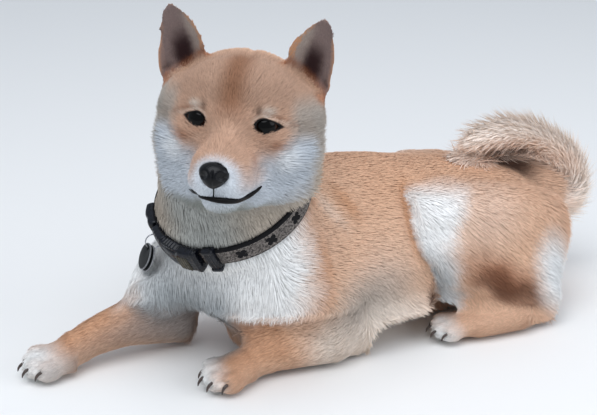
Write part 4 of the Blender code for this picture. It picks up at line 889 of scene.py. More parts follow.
smoothHead = evened(isHead, edges, 2)
faceFront = smoothHead * step(10, -12, local[:, 1])
tailPart = evened(inTail, edges, 2)
earPart = evened(isEar, edges, 1) * (1 - 0.9 * step(0.80, 0.93, np.abs(earAcross)))
pawPart = evened(isPaw, edges, 2)
legPart = evened(named("foreleg_left", "foreleg_right", "hindleg_left", "hindleg_right"), edges, 2)
legPart = legPart * (1 - tailPart)
bodyPart = np.clip(1 - smoothHead - earPart - pawPart - legPart - tailPart, 0, 1)
frontBody = bodyPart * step(0.04, 0.03, points[:, 1])
backBody = bodyPart * step(0.03, 0.04, points[:, 1])
leftHalf = step(-0.5, 0.5, local[:, 0])
leftSide = step(-0.0005, 0.0005, points[:, 0] - 0.008)
foreHalf = step(0.055, 0.045, points[:, 1])
face = {"count": 2.0e6, "lift": 0.20, "stray": 0.10}
trunk = {"count": 6.4e5, "lift": 0.07, "stray": 0.08}
thigh = {"count": 7.6e5, "lift": 0.08, "stray": 0.09}
coatPlan = {
    "coatFaceLeft": (faceFront * leftHalf, shortLock, 3, face),
    "coatFaceRight": (faceFront * (1 - leftHalf), shortLock, 13, face),
    "coatHeadBack": (smoothHead - faceFront, shortLock, 4, {"count": 1.3e6, "lift": 0.24, "stray": 0.12}),
    "coatEars": (earPart, shortLock, 5, {"count": 1.9e6, "lift": 0.02, "stray": 0.05}),
    "coatPaws": (pawPart, shortLock, 6, {"count": 9.0e5, "lift": 0.14, "stray": 0.10}),
    "coatForelegs": (legPart * foreHalf, shortLock, 7, {"count": 8.5e5, "lift": 0.12, "stray": 0.09}),
    "coatThighLeft": (legPart * (1 - foreHalf) * leftSide, shortLock, 17, thigh),
    "coatThighRight": (legPart * (1 - foreHalf) * (1 - leftSide), shortLock, 27, thigh),
    "coatChestLeft": (frontBody * leftSide, longLock, 8, trunk),
    "coatChestRight": (frontBody * (1 - leftSide), longLock, 18, trunk),
    "coatBackLeft": (backBody * leftSide, longLock, 9, trunk),
    "coatBackRight": (backBody * (1 - leftSide), longLock, 19, trunk),
    "coatTail": (tailPart, longLock, 10, {"count": 1.8e6, "lift": 0.14, "stray": 0.10}),
    "coatTailFringe": (tailPart, longLock, 20, {"count": 3.2e5, "lift": 0.52, "stray": 0.22, "longer": 1.15}),
}
for name, (where, lockObject, seed, plan) in coatPlan.items():
    growCoat(name, where, lockObject, seed, **plan)


# Eyes: wet cornea over a near-black brown iris

eyes = {"rings": 24, "around": 40, "iris": 0.0066, "pupil": 0.0040}


def eyeMaterial():
    made, tree, shader = newMaterial("wetDarkEye", "#160C08", 0.05)
    shader.inputs["Specular IOR Level"].default_value = 0.22
    shader.inputs["IOR"].default_value = 1.38
    off = addNode(tree, "ShaderNodeAttribute", {"attribute_name": "fromAxis"})
    ramp = addNode(tree, "ShaderNodeValToRGB", links={"Fac": off.outputs["Fac"]})
    stops = ramp.color_ramp.elements
    stops[0].position, stops[0].color = 0.38, (*linear("#050403"), 1)
    stops[1].position, stops[1].color = 0.46, (*linear("#2C170D"), 1)
    for at, code in ((0.62, "#1B0E09"), (0.70, "#0B0605"), (0.82, "#3A2320")):
        stop = stops.new(at)
        stop.color = (*linear(code), 1)
    tree.links.new(ramp.outputs["Color"], shader.inputs["Base Color"])
    return made


def eyeball(name, mirror):
    bm = bmesh.new()
    bmesh.ops.create_uvsphere(bm, u_segments=eyes["around"], v_segments=eyes["rings"], radius=head["eyeRadius"])
    for vert in bm.verts:
        x, y, z = vert.co
        vert.co = (x, -z, y)
    made = fromBmesh(name, bm)
    places = meshPoints(made.data)
    fromAxis = np.arctan2(np.hypot(places[:, 0], places[:, 2]), -places[:, 1]) / (math.pi / 2)
    setAttribute(made.data, "fromAxis", "FLOAT", fromAxis)
    made.data.transform(eyePlace(mirror))
    return made


eyeFinish = eyeMaterial()
for side, mirror in (("left", 1), ("right", -1)):
    finishPiece(eyeball(f"eyeball.{side}", mirror), [f"eye_{side}"], eyeFinish)


# Lids: a wet dark rim round the almond opening, with the fold above it

def lidMaterial():
    made, tree, shader = newMaterial("lidSkin", "#070404", 0.45)
    shader.inputs["Specular IOR Level"].default_value = 0.15
    place = addNode(tree, "ShaderNodeTexCoord")
    noise = addNode(tree, "ShaderNodeTexNoise", values={"Scale": 1400, "Detail": 2}, links={"Vector": place.outputs["Object"]})
    bump = addNode(tree, "ShaderNodeBump", values={"Strength": 0.35, "Distance": 0.0002}, links={"Height": noise.outputs["Fac"]})
    tree.links.new(bump.outputs["Normal"], shader.inputs["Normal"])
    return made


def lidRim(name, mirrored):
    place = eyePlace(mirrored)
    inward = place.to_3x3() @ Vector((0, 1, 0))
    rows = []
    for k in range(lids["steps"]):
        a = 2 * math.pi * k / lids["steps"]
        heading = Vector((math.cos(a), math.sin(a)))
        near, far = 0.0, 20.0
        while far - near > 0.01:  # how far out the outline is on this heading
            out = (near + far) / 2
            run = heading.x * out
            inside = almondReach(run + lids["middle"], heading.y * out + lids["slant"][mirrored] * run, mirrored) < 1.08
            near, far = (out, far) if inside else (near, out)
        x = (heading.x * near + lids["middle"]) / 1000
        z = (heading.y + lids["slant"][mirrored] * heading.x) * near / 1000
        at = place @ Vector((mirrored * x, 0, z))
        hit = skinTree.ray_cast(at - inward * 0.05, inward)[0]
        rows.append((hit if hit else at - inward * 0.004, lids["rim"] * (1.25 if math.sin(a) > 0 else 0.9)))
    spots = [sum((rows[(n + k) % len(rows)][0] for k in (-1, 0, 1)), Vector()) / 3 for n in range(len(rows))]
    bm = bmesh.new()
    rings = []
    for n, (_, radius) in enumerate(rows):
        along = (spots[(n + 1) % len(rows)] - spots[n - 1]).normalized()
        outward = (spots[n] - place.translation).normalized()
        across = along.cross(outward).normalized()
        outward = across.cross(along)
        rings.append([bm.verts.new(spots[n] + (across * math.cos(b) + outward * math.sin(b) * 0.8) * radius)
                      for b in (2 * math.pi * k / 10 for k in range(10))])
    for first, second in zip(rings, rings[1:] + rings[:1]):
        for k in range(10):
            bm.faces.new((first[k], first[(k + 1) % 10], second[(k + 1) % 10], second[k]))
    return fromBmesh(name, bm)


skinTree = BVHTree.FromObject(skinObject, bpy.context.evaluated_depsgraph_get())
lidFinish = lidMaterial()
for side, mirrored in (("left", 1), ("right", -1)):
    finishPiece(lidRim(f"lidRim.{side}", mirrored), (), lidFinish)


# Nose: pebbled black leather, wide above, with comma nostrils and a groove down the middle

def noseMaterial():
    made, tree, shader = newMaterial("noseLeather", "#08080A", 0.27)
    shader.inputs["Specular IOR Level"].default_value = 0.22
    place = addNode(tree, "ShaderNodeTexCoord")
    # pebbles about 0.7 mm across, as on a real nose
    pebbles = addNode(tree, "ShaderNodeTexVoronoi", values={"Scale": 1400}, links={"Vector": place.outputs["Object"]})
    bump = addNode(tree, "ShaderNodeBump", {"invert": True}, {"Strength": 0.4, "Distance": 0.0002},
                   {"Height": pebbles.outputs["Distance"]})
    tree.links.new(bump.outputs["Normal"], shader.inputs["Normal"])
    tone = addNode(tree, "ShaderNodeValToRGB", links={"Fac": pebbles.outputs["Distance"]})
    tone.color_ramp.elements[0].color = (*linear("#0A0A0E"), 1)
    tone.color_ramp.elements[1].color = (*linear("#020203"), 1)
    tree.links.new(tone.outputs["Color"], shader.inputs["Base Color"])
    return made


def noseLeather():
    bm = bmesh.new()
    bmesh.ops.create_icosphere(bm, subdivisions=6, radius=1.0)
    for vert in bm.verts:
        x, y, z = vert.co
        narrow = 1 + 0.28 * z
        spot = Vector((x * narrow * nosePlan["half"][0], y * nosePlan["half"][1], z * nosePlan["half"][2]))
        if y < 0:
            groove = math.exp(-(spot.x / 0.0009) ** 2) * step(0.0045, -0.001, spot.z)
            spot.y += 0.0010 * float(groove)
            for mirror in (-1, 1):
                away = ((spot.x - mirror * 0.0058) / 0.0024) ** 2 + ((spot.z + 0.0012) / 0.0026) ** 2
                slit = ((spot.x - mirror * 0.0088) / 0.0030) ** 2 + ((spot.z + 0.0016) / 0.0011) ** 2
                spot.y += 0.0022 * math.exp(-away ** 1.5) + 0.0010 * math.exp(-slit ** 1.5)
        vert.co = spot
    place = (headPlace @ Matrix.Translation(nosePlan["at"])
             @ Matrix.Rotation(math.radians(nosePlan["tip"]), 4, "X"))
    bmesh.ops.transform(bm, matrix=place, verts=bm.verts)
    return fromBmesh("nosePad", bm)


finishPiece(noseLeather(), ["nose"], noseMaterial())


# Mouth: a dark lip line laid on the skin, thickest at the corners

def laidOnSkin(name, spots):  # a dark line of skin along x, z, radius in the head's own axes
    heading = (headPlace.to_3x3() @ Vector((0, 1, 0))).normalized()
    rows = []
    for x, z, radius in spots:
        hit = skinTree.ray_cast(headPlace @ Vector((x, -0.12, z)), heading)[0]
        if hit:
            rows.append((*(hit - heading * radius * 0.75), float(radius)))
    rows = np.array(rows)
    rows[1:-1, :3] = (rows[:-2, :3] + rows[1:-1, :3] + rows[2:, :3]) / 3
    return tube(name, rows, 10)


lipSpots = []
for x in np.linspace(-0.0268, 0.0250, 49):
    bulge = float(step(-0.010, 0.004, x) * step(0.024, 0.016, x))
    taper = float(step(-0.0268, -0.020, x) * step(0.0250, 0.0235, x))
    lipSpots.append((x, lipHeight(x * 1000) / 1000, (0.0008 + 0.0006 * float(step(-0.012, -0.018, x)) + 0.0009 * bulge) * taper + 0.0004))
grooveSpots = [(-0.0018, z, 0.00045) for z in np.linspace(-0.0350, -0.0446, 9)]
finishPiece(laidOnSkin("lipLine", lipSpots), (), lidFinish)
finishPiece(laidOnSkin("lipGroove", grooveSpots), (), lidFinish)
print("head features made")


# Claws: dark horn, one to a toe

def clawMaterial():
    made, tree, shader = newMaterial("clawHorn", "#3B2E2A", 0.4)
    place = addNode(tree, "ShaderNodeTexCoord")
    streaks = addNode(tree, "ShaderNodeTexNoise", values={"Scale": 500, "Detail": 2}, links={"Vector": place.outputs["Object"]})
    tone = addNode(tree, "ShaderNodeValToRGB", links={"Fac": streaks.outputs["Fac"]})
    tone.color_ramp.elements[0].color = (*linear("#221A18"), 1)
    tone.color_ramp.elements[1].color = (*linear("#5A4A42"), 1)
    tree.links.new(tone.outputs["Color"], shader.inputs["Base Color"])
    return made


clawFinish = clawMaterial()
for name, (centre, yaw, size, mirror) in pawsAt.items():
    place = Matrix.Translation(centre) @ Matrix.Rotation(math.radians(yaw), 4, "Z") @ Matrix.Scale(size, 4)
    claws = []
    for x, y in toesAt:
        stations = [(x, y - 0.0066, 0.0004, 0.0012), (x, y - 0.0092, -0.0008, 0.0012),
                    (x * 1.02, y - 0.0112, -0.0030, 0.0009), (x * 1.03, y - 0.0120, -0.0056, 0.0003)]
        rows = []
        for row in smoothPath(stations, 5):
            at = place @ Vector(row[:3])
            if mirror < 0:
                at.x = 0.016 - at.x
            rows.append((*at, row[3] * size))
        claws.append(tube("claw", rows, 10))
    finishPiece(joined(f"claws.{name}", claws), (), clawFinish)


# Collar: woven webbing with a stitched edge, buckle, slider, loop, D ring, split ring and tags

webbing = {"around": 240, "across": 14, "threadMm": 1.0, "motifMm": 23, "motifAt": 6.5, "borderMm": 5.6, "stitchEvery": 0.0030}


def webbingMaterial():
    # tweed ribbon sewn on polyester webbing: woven, matt, grey-taupe, with black selvedges and small four-lobed marks
    made, tree, shader = newMaterial("tweedWebbing", "#5A5552", 0.88)
    shader.inputs["Specular IOR Level"].default_value = 0.25
    uv = addNode(tree, "ShaderNodeUVMap", {"uv_map": "webbingMm"}).outputs["UV"]
    run, rise = addNode(tree, "ShaderNodeSeparateXYZ", links={0: uv}).outputs[:2]
    moved = addNode(tree, "ShaderNodeMath", {"operation": "ADD"}, {1: webbing["motifAt"]}, {0: run}).outputs[0]
    a = addNode(tree, "ShaderNodeMath", {"operation": "PINGPONG"}, {1: webbing["motifMm"] / 2}, {0: moved}).outputs[0]
    level = addNode(tree, "ShaderNodeMath", {"operation": "ADD"}, {1: 0.6}, {0: rise}).outputs[0]
    b = addNode(tree, "ShaderNodeMath", {"operation": "ABSOLUTE"}, links={0: level}).outputs[0]
    quarter = addNode(tree, "ShaderNodeCombineXYZ", links={"X": a, "Y": b}).outputs[0]
    fromLobe = addNode(tree, "ShaderNodeVectorMath", {"operation": "DISTANCE"}, {1: (1.9, 1.9, 0)}, {0: quarter}).outputs["Value"]
    fromHeart = addNode(tree, "ShaderNodeVectorMath", {"operation": "LENGTH"}, links={0: quarter}).outputs["Value"]
    lobe = addNode(tree, "ShaderNodeMath", {"operation": "LESS_THAN"}, {1: 1.95}, {0: fromLobe}).outputs[0]
    heart = addNode(tree, "ShaderNodeMath", {"operation": "LESS_THAN"}, {1: 1.75}, {0: fromHeart}).outputs[0]
    above = addNode(tree, "ShaderNodeMath", {"operation": "GREATER_THAN"}, {1: webbing["borderMm"]}, {0: rise}).outputs[0]
    below = addNode(tree, "ShaderNodeMath", {"operation": "LESS_THAN"}, {1: -webbing["borderMm"] - 1.5}, {0: rise}).outputs[0]
    mark = addNode(tree, "ShaderNodeMath", {"operation": "MAXIMUM"}, links={0: lobe, 1: heart}).outputs[0]
    border = addNode(tree, "ShaderNodeMath", {"operation": "MAXIMUM"}, links={0: above, 1: below}).outputs[0]
    darker = addNode(tree, "ShaderNodeMath", {"operation": "MAXIMUM"}, links={0: mark, 1: border}).outputs[0]
    turns = 2 * math.pi / webbing["threadMm"]
    alongTurns = addNode(tree, "ShaderNodeMath", {"operation": "MULTIPLY"}, {1: turns}, {0: run}).outputs[0]
    acrossTurns = addNode(tree, "ShaderNodeMath", {"operation": "MULTIPLY"}, {1: turns}, {0: rise}).outputs[0]
    warp = addNode(tree, "ShaderNodeMath", {"operation": "SINE"}, links={0: alongTurns}).outputs[0]
    weft = addNode(tree, "ShaderNodeMath", {"operation": "SINE"}, links={0: acrossTurns}).outputs[0]
    threads = addNode(tree, "ShaderNodeMath", {"operation": "MULTIPLY"}, links={0: warp, 1: weft}).outputs[0]
    flecks = addNode(tree, "ShaderNodeTexNoise", values={"Scale": 0.5, "Detail": 4, "Roughness": 0.7}, links={"Vector": uv})
    woven = addNode(tree, "ShaderNodeMath", {"operation": "MULTIPLY_ADD"}, {1: 0.12}, {0: threads, 2: flecks.outputs["Fac"]})
    tone = addNode(tree, "ShaderNodeValToRGB", links={"Fac": woven.outputs[0]})
    stops = tone.color_ramp.elements
    stops[0].position, stops[1].position = 0.40, 0.66
    stops[0].color, stops[1].color = (*linear("#262322"), 1), (*linear("#A39A93"), 1)
    mix = addNode(tree, "ShaderNodeMix", {"data_type": "RGBA"}, {7: (*linear("#0F0E11"), 1)}, {0: darker, 6: tone.outputs["Color"]})
    tree.links.new(mix.outputs[2], shader.inputs["Base Color"])
    bump = addNode(tree, "ShaderNodeBump", values={"Strength": 0.8, "Distance": 0.0004}, links={"Height": threads})
    tree.links.new(bump.outputs["Normal"], shader.inputs["Normal"])
    return made


def ringLoft(name, section, angles, closed, uvName=None):
    # section(angle) gives (out, up) pairs; uv in millimetres: along the collar, across it
    bm = bmesh.new()
    layer = bm.loops.layers.uv.new(uvName or "detail")
    rings, runs = [], [0.0]
    for n, a in enumerate(angles):
        rings.append([bm.verts.new(collarPoint(a, out, up)) for out, up in section(a)])
        if n:
            runs.append(runs[-1] + (collarPoint(a, 0, 0) - collarPoint(angles[n - 1], 0, 0)).length * 1000)
    ups = [up * 1000 for _, up in section(angles[0])]
    count, sides = len(rings), len(rings[0])
    total = runs[-1] + (runs[1] - runs[0])
    for n in range(count if closed else count - 1):
        m = (n + 1) % count
        for k in range(sides):
            j = (k + 1) % sides
            made = bm.faces.new((rings[n][k], rings[n][j], rings[m][j], rings[m][k]))
            end = runs[m] if m else total
            for loop, place in zip(made.loops, ((runs[n], ups[k]), (runs[n], ups[j]), (end, ups[j]), (end, ups[k]))):
                loop[layer].uv = place
    if not closed:
        bm.faces.new(rings[0])
        bm.faces.new(rings[-1])
    return fromBmesh(name, bm)


def webbingSection(angle):
    half, thick = collar["width"] / 2, collar["thickness"]
    edge = 0.0007
    outer = [(thick - edge * (1 - math.sqrt(max(0, 1 - (max(0, abs(t) * half - half + edge) / edge) ** 2))), t * half)
             for t in np.linspace(-1, 1, webbing["across"])]
    inner = [(0.0002, half * t) for t in (1, 0.5, 0, -0.5, -1)]
    return outer + inner


angles = [2 * math.pi * n / webbing["around"] for n in range(webbing["around"])]
band = ringLoft("collarWebbing", webbingSection, angles, True, "webbingMm")
finishPiece(band, ["collar_band"], webbingMaterial())


# Stitches: short rounded thread stitches in two rows along the ribbon and a bar by the slider

def stitchTree():
    tree = bpy.data.node_groups.new("stitchRun", "GeometryNodeTree")
    tree.interface.new_socket("Geometry", in_out="INPUT", socket_type="NodeSocketGeometry")
    for name, kind in (("Stitch", "NodeSocketObject"), ("Spacing", "NodeSocketFloat"), ("Material", "NodeSocketMaterial")):
        tree.interface.new_socket(name, in_out="INPUT", socket_type=kind)
    tree.interface.new_socket("Geometry", in_out="OUTPUT", socket_type="NodeSocketGeometry")
    source = addNode(tree, "NodeGroupInput").outputs
    outward = addNode(tree, "GeometryNodeInputNamedAttribute", {"data_type": "FLOAT_VECTOR"}, {"Name": "outward"})
    curve = addNode(tree, "GeometryNodeMeshToCurve", links={"Mesh": source["Geometry"]})
    even = addNode(tree, "GeometryNodeResampleCurve", {"mode": "LENGTH"},
                   links={"Curve": curve.outputs[0], "Length": source["Spacing"]})
    tangent = addNode(tree, "GeometryNodeInputTangent")
    along = addNode(tree, "FunctionNodeAlignRotationToVector", {"axis": "X"}, links={"Vector": tangent.outputs[0]})
    facing = addNode(tree, "FunctionNodeAlignRotationToVector", {"axis": "Z", "pivot_axis": "X"},
                     links={"Rotation": along.outputs[0], "Vector": outward.outputs["Attribute"]})
    thread = addNode(tree, "GeometryNodeObjectInfo", links={"Object": source["Stitch"]})
    placed = addNode(tree, "GeometryNodeInstanceOnPoints",
                     links={"Points": even.outputs[0], "Instance": thread.outputs["Geometry"], "Rotation": facing.outputs[0]})
    real = addNode(tree, "GeometryNodeRealizeInstances", links={"Geometry": placed.outputs[0]})
    plain = addNode(tree, "GeometryNodeRemoveAttribute", values={"Name": "outward"}, links={"Geometry": real.outputs[0]})
    painted = addNode(tree, "GeometryNodeSetMaterial", links={"Geometry": plain.outputs[0], "Material": source["Material"]})
    addNode(tree, "NodeGroupOutput", links={"Geometry": painted.outputs[0]})
    return tree


def threadMaterial():
    # bonded polyester thread: twisted, slightly glossy, a shade lighter than the ribbon
    made, tree, shader = newMaterial("sewingThread", "#8C857E", 0.6)
    place = addNode(tree, "ShaderNodeTexCoord")
    twist = addNode(tree, "ShaderNodeTexNoise", values={"Scale": 2500, "Detail": 1}, links={"Vector": place.outputs["Object"]})
    tone = addNode(tree, "ShaderNodeValToRGB", links={"Fac": twist.outputs["Fac"]})
    tone.color_ramp.elements[0].color, tone.color_ramp.elements[1].color = (*linear("#6B655F"), 1), (*linear("#A39B93"), 1)
    tree.links.new(tone.outputs["Color"], shader.inputs["Base Color"])
    return made


def stitches(name, runs):
    bm = bmesh.new()
    bmesh.ops.create_uvsphere(bm, u_segments=6, v_segments=5, radius=1.0)
    bmesh.ops.transform(bm, verts=bm.verts, matrix=Matrix.Rotation(math.pi / 2, 4, "Y"))
    bmesh.ops.transform(bm, verts=bm.verts, matrix=Matrix.Diagonal((0.00095, 0.00032, 0.00024, 1)))
    stitch = fromBmesh("stitch", bm)
    guide = bpy.data.meshes.new(name)
    spots, joins, outs = [], [], []
    for run in runs:
        for n, (angle, up) in enumerate(run):
            if n:
                joins.append((len(spots) - 1, len(spots)))
            spots.append(collarPoint(angle, collar["thickness"] + 0.0001, up))
            outs.append((collarPoint(angle, 0.01, up) - collarPoint(angle, 0, up)).normalized())
    guide.from_pydata(spots, joins, [])
    setAttribute(guide, "outward", "FLOAT_VECTOR", outs)
    made = newObject(name, guide)
    modifier = made.modifiers.new("Stitches", "NODES")
    modifier.node_group = stitchTree()
    values = {"Stitch": stitch, "Spacing": webbing["stitchEvery"], "Material": threadMaterial()}
    for item in modifier.node_group.interface.items_tree:
        if item.item_type == "SOCKET" and item.in_out == "INPUT" and item.name in values:
            modifier[item.identifier] = values[item.name]
    settle(made)
    bpy.data.objects.remove(stitch)
    made.data.polygons.foreach_set("use_smooth", [True] * len(made.data.polygons))
    return finishPiece(made)


bare = [math.radians(a) for a in range(176, 438, 2)]
bar = [[(math.radians(a), up) for up in np.linspace(-0.0050, 0.0050, 7)] for a in (72.5, 74.5)]
stitches("ribbonStitches", [[(a, up) for a in bare] for up in (-0.0052, 0.0052)] + bar)


# Fittings: injection-moulded acetal, near black with a navy sheen, rounded, with fine ribs

fittings = {"buckle": (94, 142), "split": 125.5, "loop": (144, 165), "slider": (81.3, 89.7), "panel": (100.5, 109.5)}


def acetalMaterial(name, colour, sheen):
    made, tree, shader = newMaterial(name, colour, 0.26)
    shader.inputs["Specular IOR Level"].default_value = 0.28
    shader.inputs["Coat Weight"].default_value = 0.06
    shader.inputs["Coat Roughness"].default_value = 0.12
    place = addNode(tree, "ShaderNodeTexCoord")
    scuffs = addNode(tree, "ShaderNodeTexNoise", values={"Scale": 260, "Detail": 5, "Roughness": 0.65},
                     links={"Vector": place.outputs["Object"]})
    tone = addNode(tree, "ShaderNodeValToRGB", links={"Fac": scuffs.outputs["Fac"]})
    tone.color_ramp.elements[0].position, tone.color_ramp.elements[1].position = 0.35, 0.72
    tone.color_ramp.elements[0].color, tone.color_ramp.elements[1].color = (*linear(colour), 1), (*linear(sheen), 1)
    tree.links.new(tone.outputs["Color"], shader.inputs["Base Color"])
    worn = addNode(tree, "ShaderNodeMapRange", values={"From Min": 0.3, "From Max": 0.7, "To Min": 0.2, "To Max": 0.38},
                   links={"Value": scuffs.outputs["Fac"]})
    tree.links.new(worn.outputs["Result"], shader.inputs["Roughness"])
    grain = addNode(tree, "ShaderNodeTexNoise", values={"Scale": 1800}, links={"Vector": place.outputs["Object"]})
    bump = addNode(tree, "ShaderNodeBump", values={"Strength": 0.2, "Distance": 0.0001}, links={"Height": grain.outputs["Fac"]})
    tree.links.new(bump.outputs["Normal"], shader.inputs["Normal"])
    return made


def moulded(name, start, end, shape, bevel=1.4, steps=64):
    # shape(share) gives inner, outer, low and high; ends and corners are rounded
    def section(angle):
        at = math.degrees(angle)
        share = (at - start) / (end - start)
        ease = math.sqrt(max(0.0, 1 - (1 - min(1.0, (at - start) / bevel, (end - at) / bevel)) ** 2))
        inner, outer, low, high = shape(share)
        deep, wide = (outer - inner) / 2 * (0.55 + 0.45 * ease), (high - low) / 2 - 0.0010 * (1 - ease)
        found = []
        for k in range(28):
            a = 2 * math.pi * k / 28
            c, d = math.cos(a), math.sin(a)
            found.append((inner + (outer - inner) / 2 * (0.55 + 0.45 * ease) + deep * math.copysign(abs(c) ** 0.55, c),
                          (low + high) / 2 + wide * math.copysign(abs(d) ** 0.55, d)))
        return found
    edge = [bevel * (1 - math.cos(math.pi / 2 * k / 5)) for k in range(5)]
    spots = [start + e for e in edge] + list(np.linspace(start + bevel, end - bevel, steps)) + [end - e for e in edge[::-1]]
    return ringLoft(name, section, [math.radians(a) for a in spots], False)


base = collar["thickness"] + 0.0003


def housingShape(share):  # swells at the middle, and draws in at the sides for the release tabs
    waist = 0.0024 * float(step(0.40, 0.52, share) * step(0.98, 0.88, share))
    top = base + 0.0060 + 0.0016 * math.sin(math.pi * share)
    return 0.0003, top, -0.01075 + waist, 0.01075 - waist


def plugShape(share):  # narrows towards its webbing end, with four grip ribs
    ribs = 0.00035 * max(0.0, math.sin(2 * math.pi * (share * 5.0))) * float(step(0.12, 0.2, share) * step(0.95, 0.85, share))
    return 0.0003, base + 0.0062 - 0.0018 * share + ribs, -0.0103 + 0.0012 * share, 0.0103 - 0.0012 * share


def tabShape(side):
    def shape(share):
        ribs = 0.0003 * math.sin(2 * math.pi * share * 6)
        bow = 0.0009 * math.sin(math.pi * share)
        low, high = sorted((side * 0.0080, side * (0.0102 + bow + ribs)))
        return 0.0012, base + 0.0054, low, high
    return shape


housing = moulded("buckleHousing", fittings["buckle"][0], fittings["split"] - 0.5, housingShape)
plug = moulded("bucklePlug", fittings["split"], fittings["buckle"][1], plugShape)
tabs = [moulded("tab", 107.5, 123.5, tabShape(side), steps=48) for side in (-1, 1)]
lip = moulded("lip", 94.6, 98.2, lambda share: (0.0010, base + 0.0071, -0.0112, 0.0112), 1.0, 16)
blackAcetal = acetalMaterial("blackAcetal", "#040509", "#0C101C")
finishPiece(joined("sideReleaseBuckle", [housing, plug, lip] + tabs), ["collar_buckle"], blackAcetal)


def panelShape(share):
    ribs = 0.00025 * math.sin(2 * math.pi * share * 4)
    return base + 0.0050, base + 0.0082 + ribs, -0.0080, 0.0064


finishPiece(moulded("bucklePanel", *fittings["panel"], panelShape, 0.8, 40), (),
            acetalMaterial("oliveAcetal", "#2F2C22", "#4E4838"))


def loopShape(share):  # two rounded shoulders with a saddle between them, where the D ring lies
    saddle = 0.0012 * math.exp(-((share - 0.38) / 0.13) ** 2)
    swell = 0.0014 * math.sin(math.pi * share)
    return 0.0003, base + 0.0052 + swell - saddle, -0.00925, 0.0100


finishPiece(moulded("collarLoop", *fittings["loop"], loopShape), ["collar_loop"], blackAcetal)
rails = [moulded("rail", *fittings["slider"], lambda share, s=side: (0.0004, base + 0.0040, *sorted((s * 0.0084, s * 0.0119))), 1.2, 24)
         for side in (-1, 1)]
bars = [moulded("bar", fittings["slider"][0] + 0.3, fittings["slider"][1] - 0.3, lambda share: (
    0.0006, base + 0.0042 - 0.0007 * abs(math.sin(3 * math.pi * share)), -0.0100, 0.0100), 1.2, 30)]
finishPiece(joined("triGlideSlider", rails + bars), ["collar_slider"], blackAcetal)


# Rings and tags: bright drawn wire, and stamped discs with a worn bright edge under black enamel

def wireMaterial():
    made, tree, shader = newMaterial("drawnSteelWire", "#A9AAAD", 0.28)
    shader.inputs["Metallic"].default_value = 1.0
    place = addNode(tree, "ShaderNodeTexCoord")
    drag = addNode(tree, "ShaderNodeTexNoise", values={"Scale": 900, "Detail": 3}, links={"Vector": place.outputs["Object"]})
    dull = addNode(tree, "ShaderNodeMapRange", values={"To Min": 0.18, "To Max": 0.42}, links={"Value": drag.outputs["Fac"]})
    tree.links.new(dull.outputs["Result"], shader.inputs["Roughness"])
    tone = addNode(tree, "ShaderNodeValToRGB", links={"Fac": drag.outputs["Fac"]})
    tone.color_ramp.elements[0].color, tone.color_ramp.elements[1].color = (*linear("#85868A"), 1), (*linear("#C4C5C8"), 1)
    tree.links.new(tone.outputs["Color"], shader.inputs["Base Color"])
    return made


def enamelMaterial():
    made, tree, shader = newMaterial("blackEnamel", "#0A0C0D", 0.5)
    shader.inputs["Specular IOR Level"].default_value = 0.16
    place = addNode(tree, "ShaderNodeTexCoord")
    spot = addNode(tree, "ShaderNodeAttribute", {"attribute_name": "fromMiddle"})
    reach = addNode(tree, "ShaderNodeVectorMath", {"operation": "LENGTH"}, links={0: spot.outputs["Vector"]})
    rim = addNode(tree, "ShaderNodeMapRange", values={"From Min": 0.0094, "From Max": 0.0104},
                  links={"Value": reach.outputs["Value"]})
    wear = addNode(tree, "ShaderNodeTexNoise", values={"Scale": 700, "Detail": 4}, links={"Vector": place.outputs["Object"]})
    worn = addNode(tree, "ShaderNodeMath", {"operation": "MULTIPLY_ADD", "use_clamp": True}, {1: 1.4, 2: -0.25},
                   {0: rim.outputs["Result"]})
    bright = addNode(tree, "ShaderNodeMath", {"operation": "MULTIPLY"}, links={0: worn.outputs[0], 1: wear.outputs["Fac"]})
    mix = addNode(tree, "ShaderNodeMix", {"data_type": "RGBA"}, links={0: bright.outputs[0]})
    mix.inputs[6].default_value, mix.inputs[7].default_value = (*linear("#0A0D0E"), 1), (*linear("#B9BABC"), 1)
    tree.links.new(mix.outputs[2], shader.inputs["Base Color"])
    bump = addNode(tree, "ShaderNodeBump", values={"Strength": 0.15, "Distance": 0.0001}, links={"Height": wear.outputs["Fac"]})
    tree.links.new(bump.outputs["Normal"], shader.inputs["Normal"])
    return made


def flatAxis(name):  # the middle of a flat node, and the direction it faces
    spots = np.array([v.co for v in nodes[name].data.vertices])
    middle = (spots.max(0) + spots.min(0)) / 2
    return middle, np.linalg.svd(spots - spots.mean(0), full_matrices=False)[2][2]


def softCopy(name, piece, width):  # the node's shape with its edges rounded over
    made = mergedCopy(name, 0.0)
    made.name = piece
    bevel = made.modifiers.new("Bevel", "BEVEL")
    bevel.width, bevel.segments, bevel.limit_method, bevel.angle_limit = width, 3, "ANGLE", math.radians(50)
    settle(made)
    made.data.polygons.foreach_set("use_smooth", [True] * len(made.data.polygons))
    return made


wireFinish, enamelFinish = wireMaterial(), enamelMaterial()
for name, piece in (("tag_front", "tag.front"), ("tag_back", "tag.back")):
    tag = softCopy(name, piece, 0.00035)
    setAttribute(tag.data, "fromMiddle", "FLOAT_VECTOR", meshPoints(tag.data) - flatAxis(name)[0])
    finishPiece(tag, [name], enamelFinish)


def splitRing():  # two close turns of wire, as a key ring is
    middle, facing = flatAxis("tag_ring")
    spots = np.array([v.co for v in nodes["tag_ring"].data.vertices]) - middle
    reach = np.linalg.norm(spots, axis=1)
    radius = (reach.min() + reach.max()) / 2
    first = spots[reach.argmax()] / reach.max()
    second = np.cross(facing, first)
    rows = []
    for k in range(97):
        a = 4 * math.pi * k / 96
        lift = -0.00042 + 0.00084 * k / 96
        rows.append((*(middle + (first * math.cos(a) + second * math.sin(a)) * radius + facing * lift), 0.00040))
    return tube("splitRing", rows, 10, side=tuple(facing))


finishPiece(splitRing(), ["tag_ring"], wireFinish)
nodes["collar_d_ring"].data.materials.clear()
nodes["collar_d_ring"].data.materials.append(wireFinish)
print("collar made")


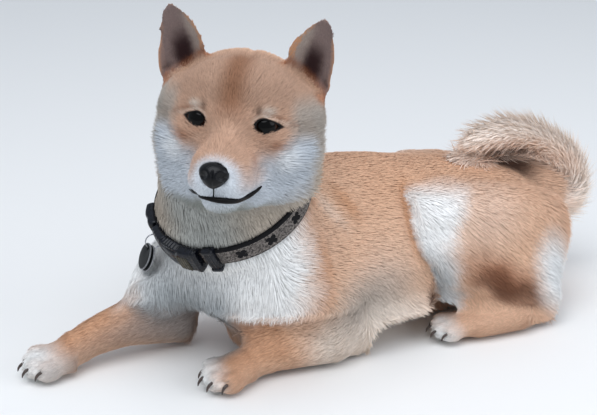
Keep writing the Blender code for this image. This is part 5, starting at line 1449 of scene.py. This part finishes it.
# Stage: pale floor, soft studio light, camera at the photograph's angle

stage = {"floorHex": "#ECEBE8", "worldHex": "#DDE7F4", "world": 0.66, "keyWatts": 25, "fillWatts": 8}


def areaLight(name, place, aim, size, watts, colour):
    data = bpy.data.lights.new(name, "AREA")
    data.shape = "DISK"
    data.size = size
    data.energy = watts
    data.color = linear(colour)
    made = bpy.data.objects.new(name, data)
    scene.collection.objects.link(made)
    made.location = place
    made.rotation_euler = (Vector(aim) - Vector(place)).to_track_quat("-Z", "Y").to_euler()


bm = bmesh.new()
bmesh.ops.create_grid(bm, x_segments=8, y_segments=8, size=4.0)
floor = fromBmesh("paleFloor", bm)
floorMaterial, floorTree, floorShader = newMaterial("paleFloorPaint", stage["floorHex"], 0.85)
floor.data.materials.append(floorMaterial)

world = bpy.data.worlds.new("softWorld")
scene.world = world
world.use_nodes = True
world.node_tree.nodes["Background"].inputs[0].default_value = (*linear(stage["worldHex"]), 1)
world.node_tree.nodes["Background"].inputs[1].default_value = stage["world"]
areaLight("skyPanel", (0.5, -0.5, 1.7), (0, 0.02, 0.1), 1.8, stage["keyWatts"], "#F8FAFF")
areaLight("fillPanel", (1.3, 0.9, 0.9), (0, 0.05, 0.1), 1.2, stage["fillWatts"], "#F4F7FF")

view = {"place": (0.8565, -0.5363, 0.5198), "azimuth": 58, "elevation": 22, "focalPixels": 1404, "imageWidth": 597}
azimuth, elevation = math.radians(view["azimuth"]), math.radians(view["elevation"])
cameraData = bpy.data.cameras.new("photoCamera")
cameraData.sensor_width = 36
cameraData.lens = 36 * view["focalPixels"] / view["imageWidth"]
camera = bpy.data.objects.new("photoCamera", cameraData)
scene.collection.objects.link(camera)
camera.location = view["place"]
forward = Vector((-math.sin(azimuth) * math.cos(elevation), math.cos(azimuth) * math.cos(elevation), -math.sin(elevation)))
camera.rotation_euler = forward.to_track_quat("-Z", "Y").to_euler()
scene.camera = camera
scene.view_settings.view_transform = "Standard"

for spare in (shortLock, longLock):
    bpy.data.objects.remove(spare)
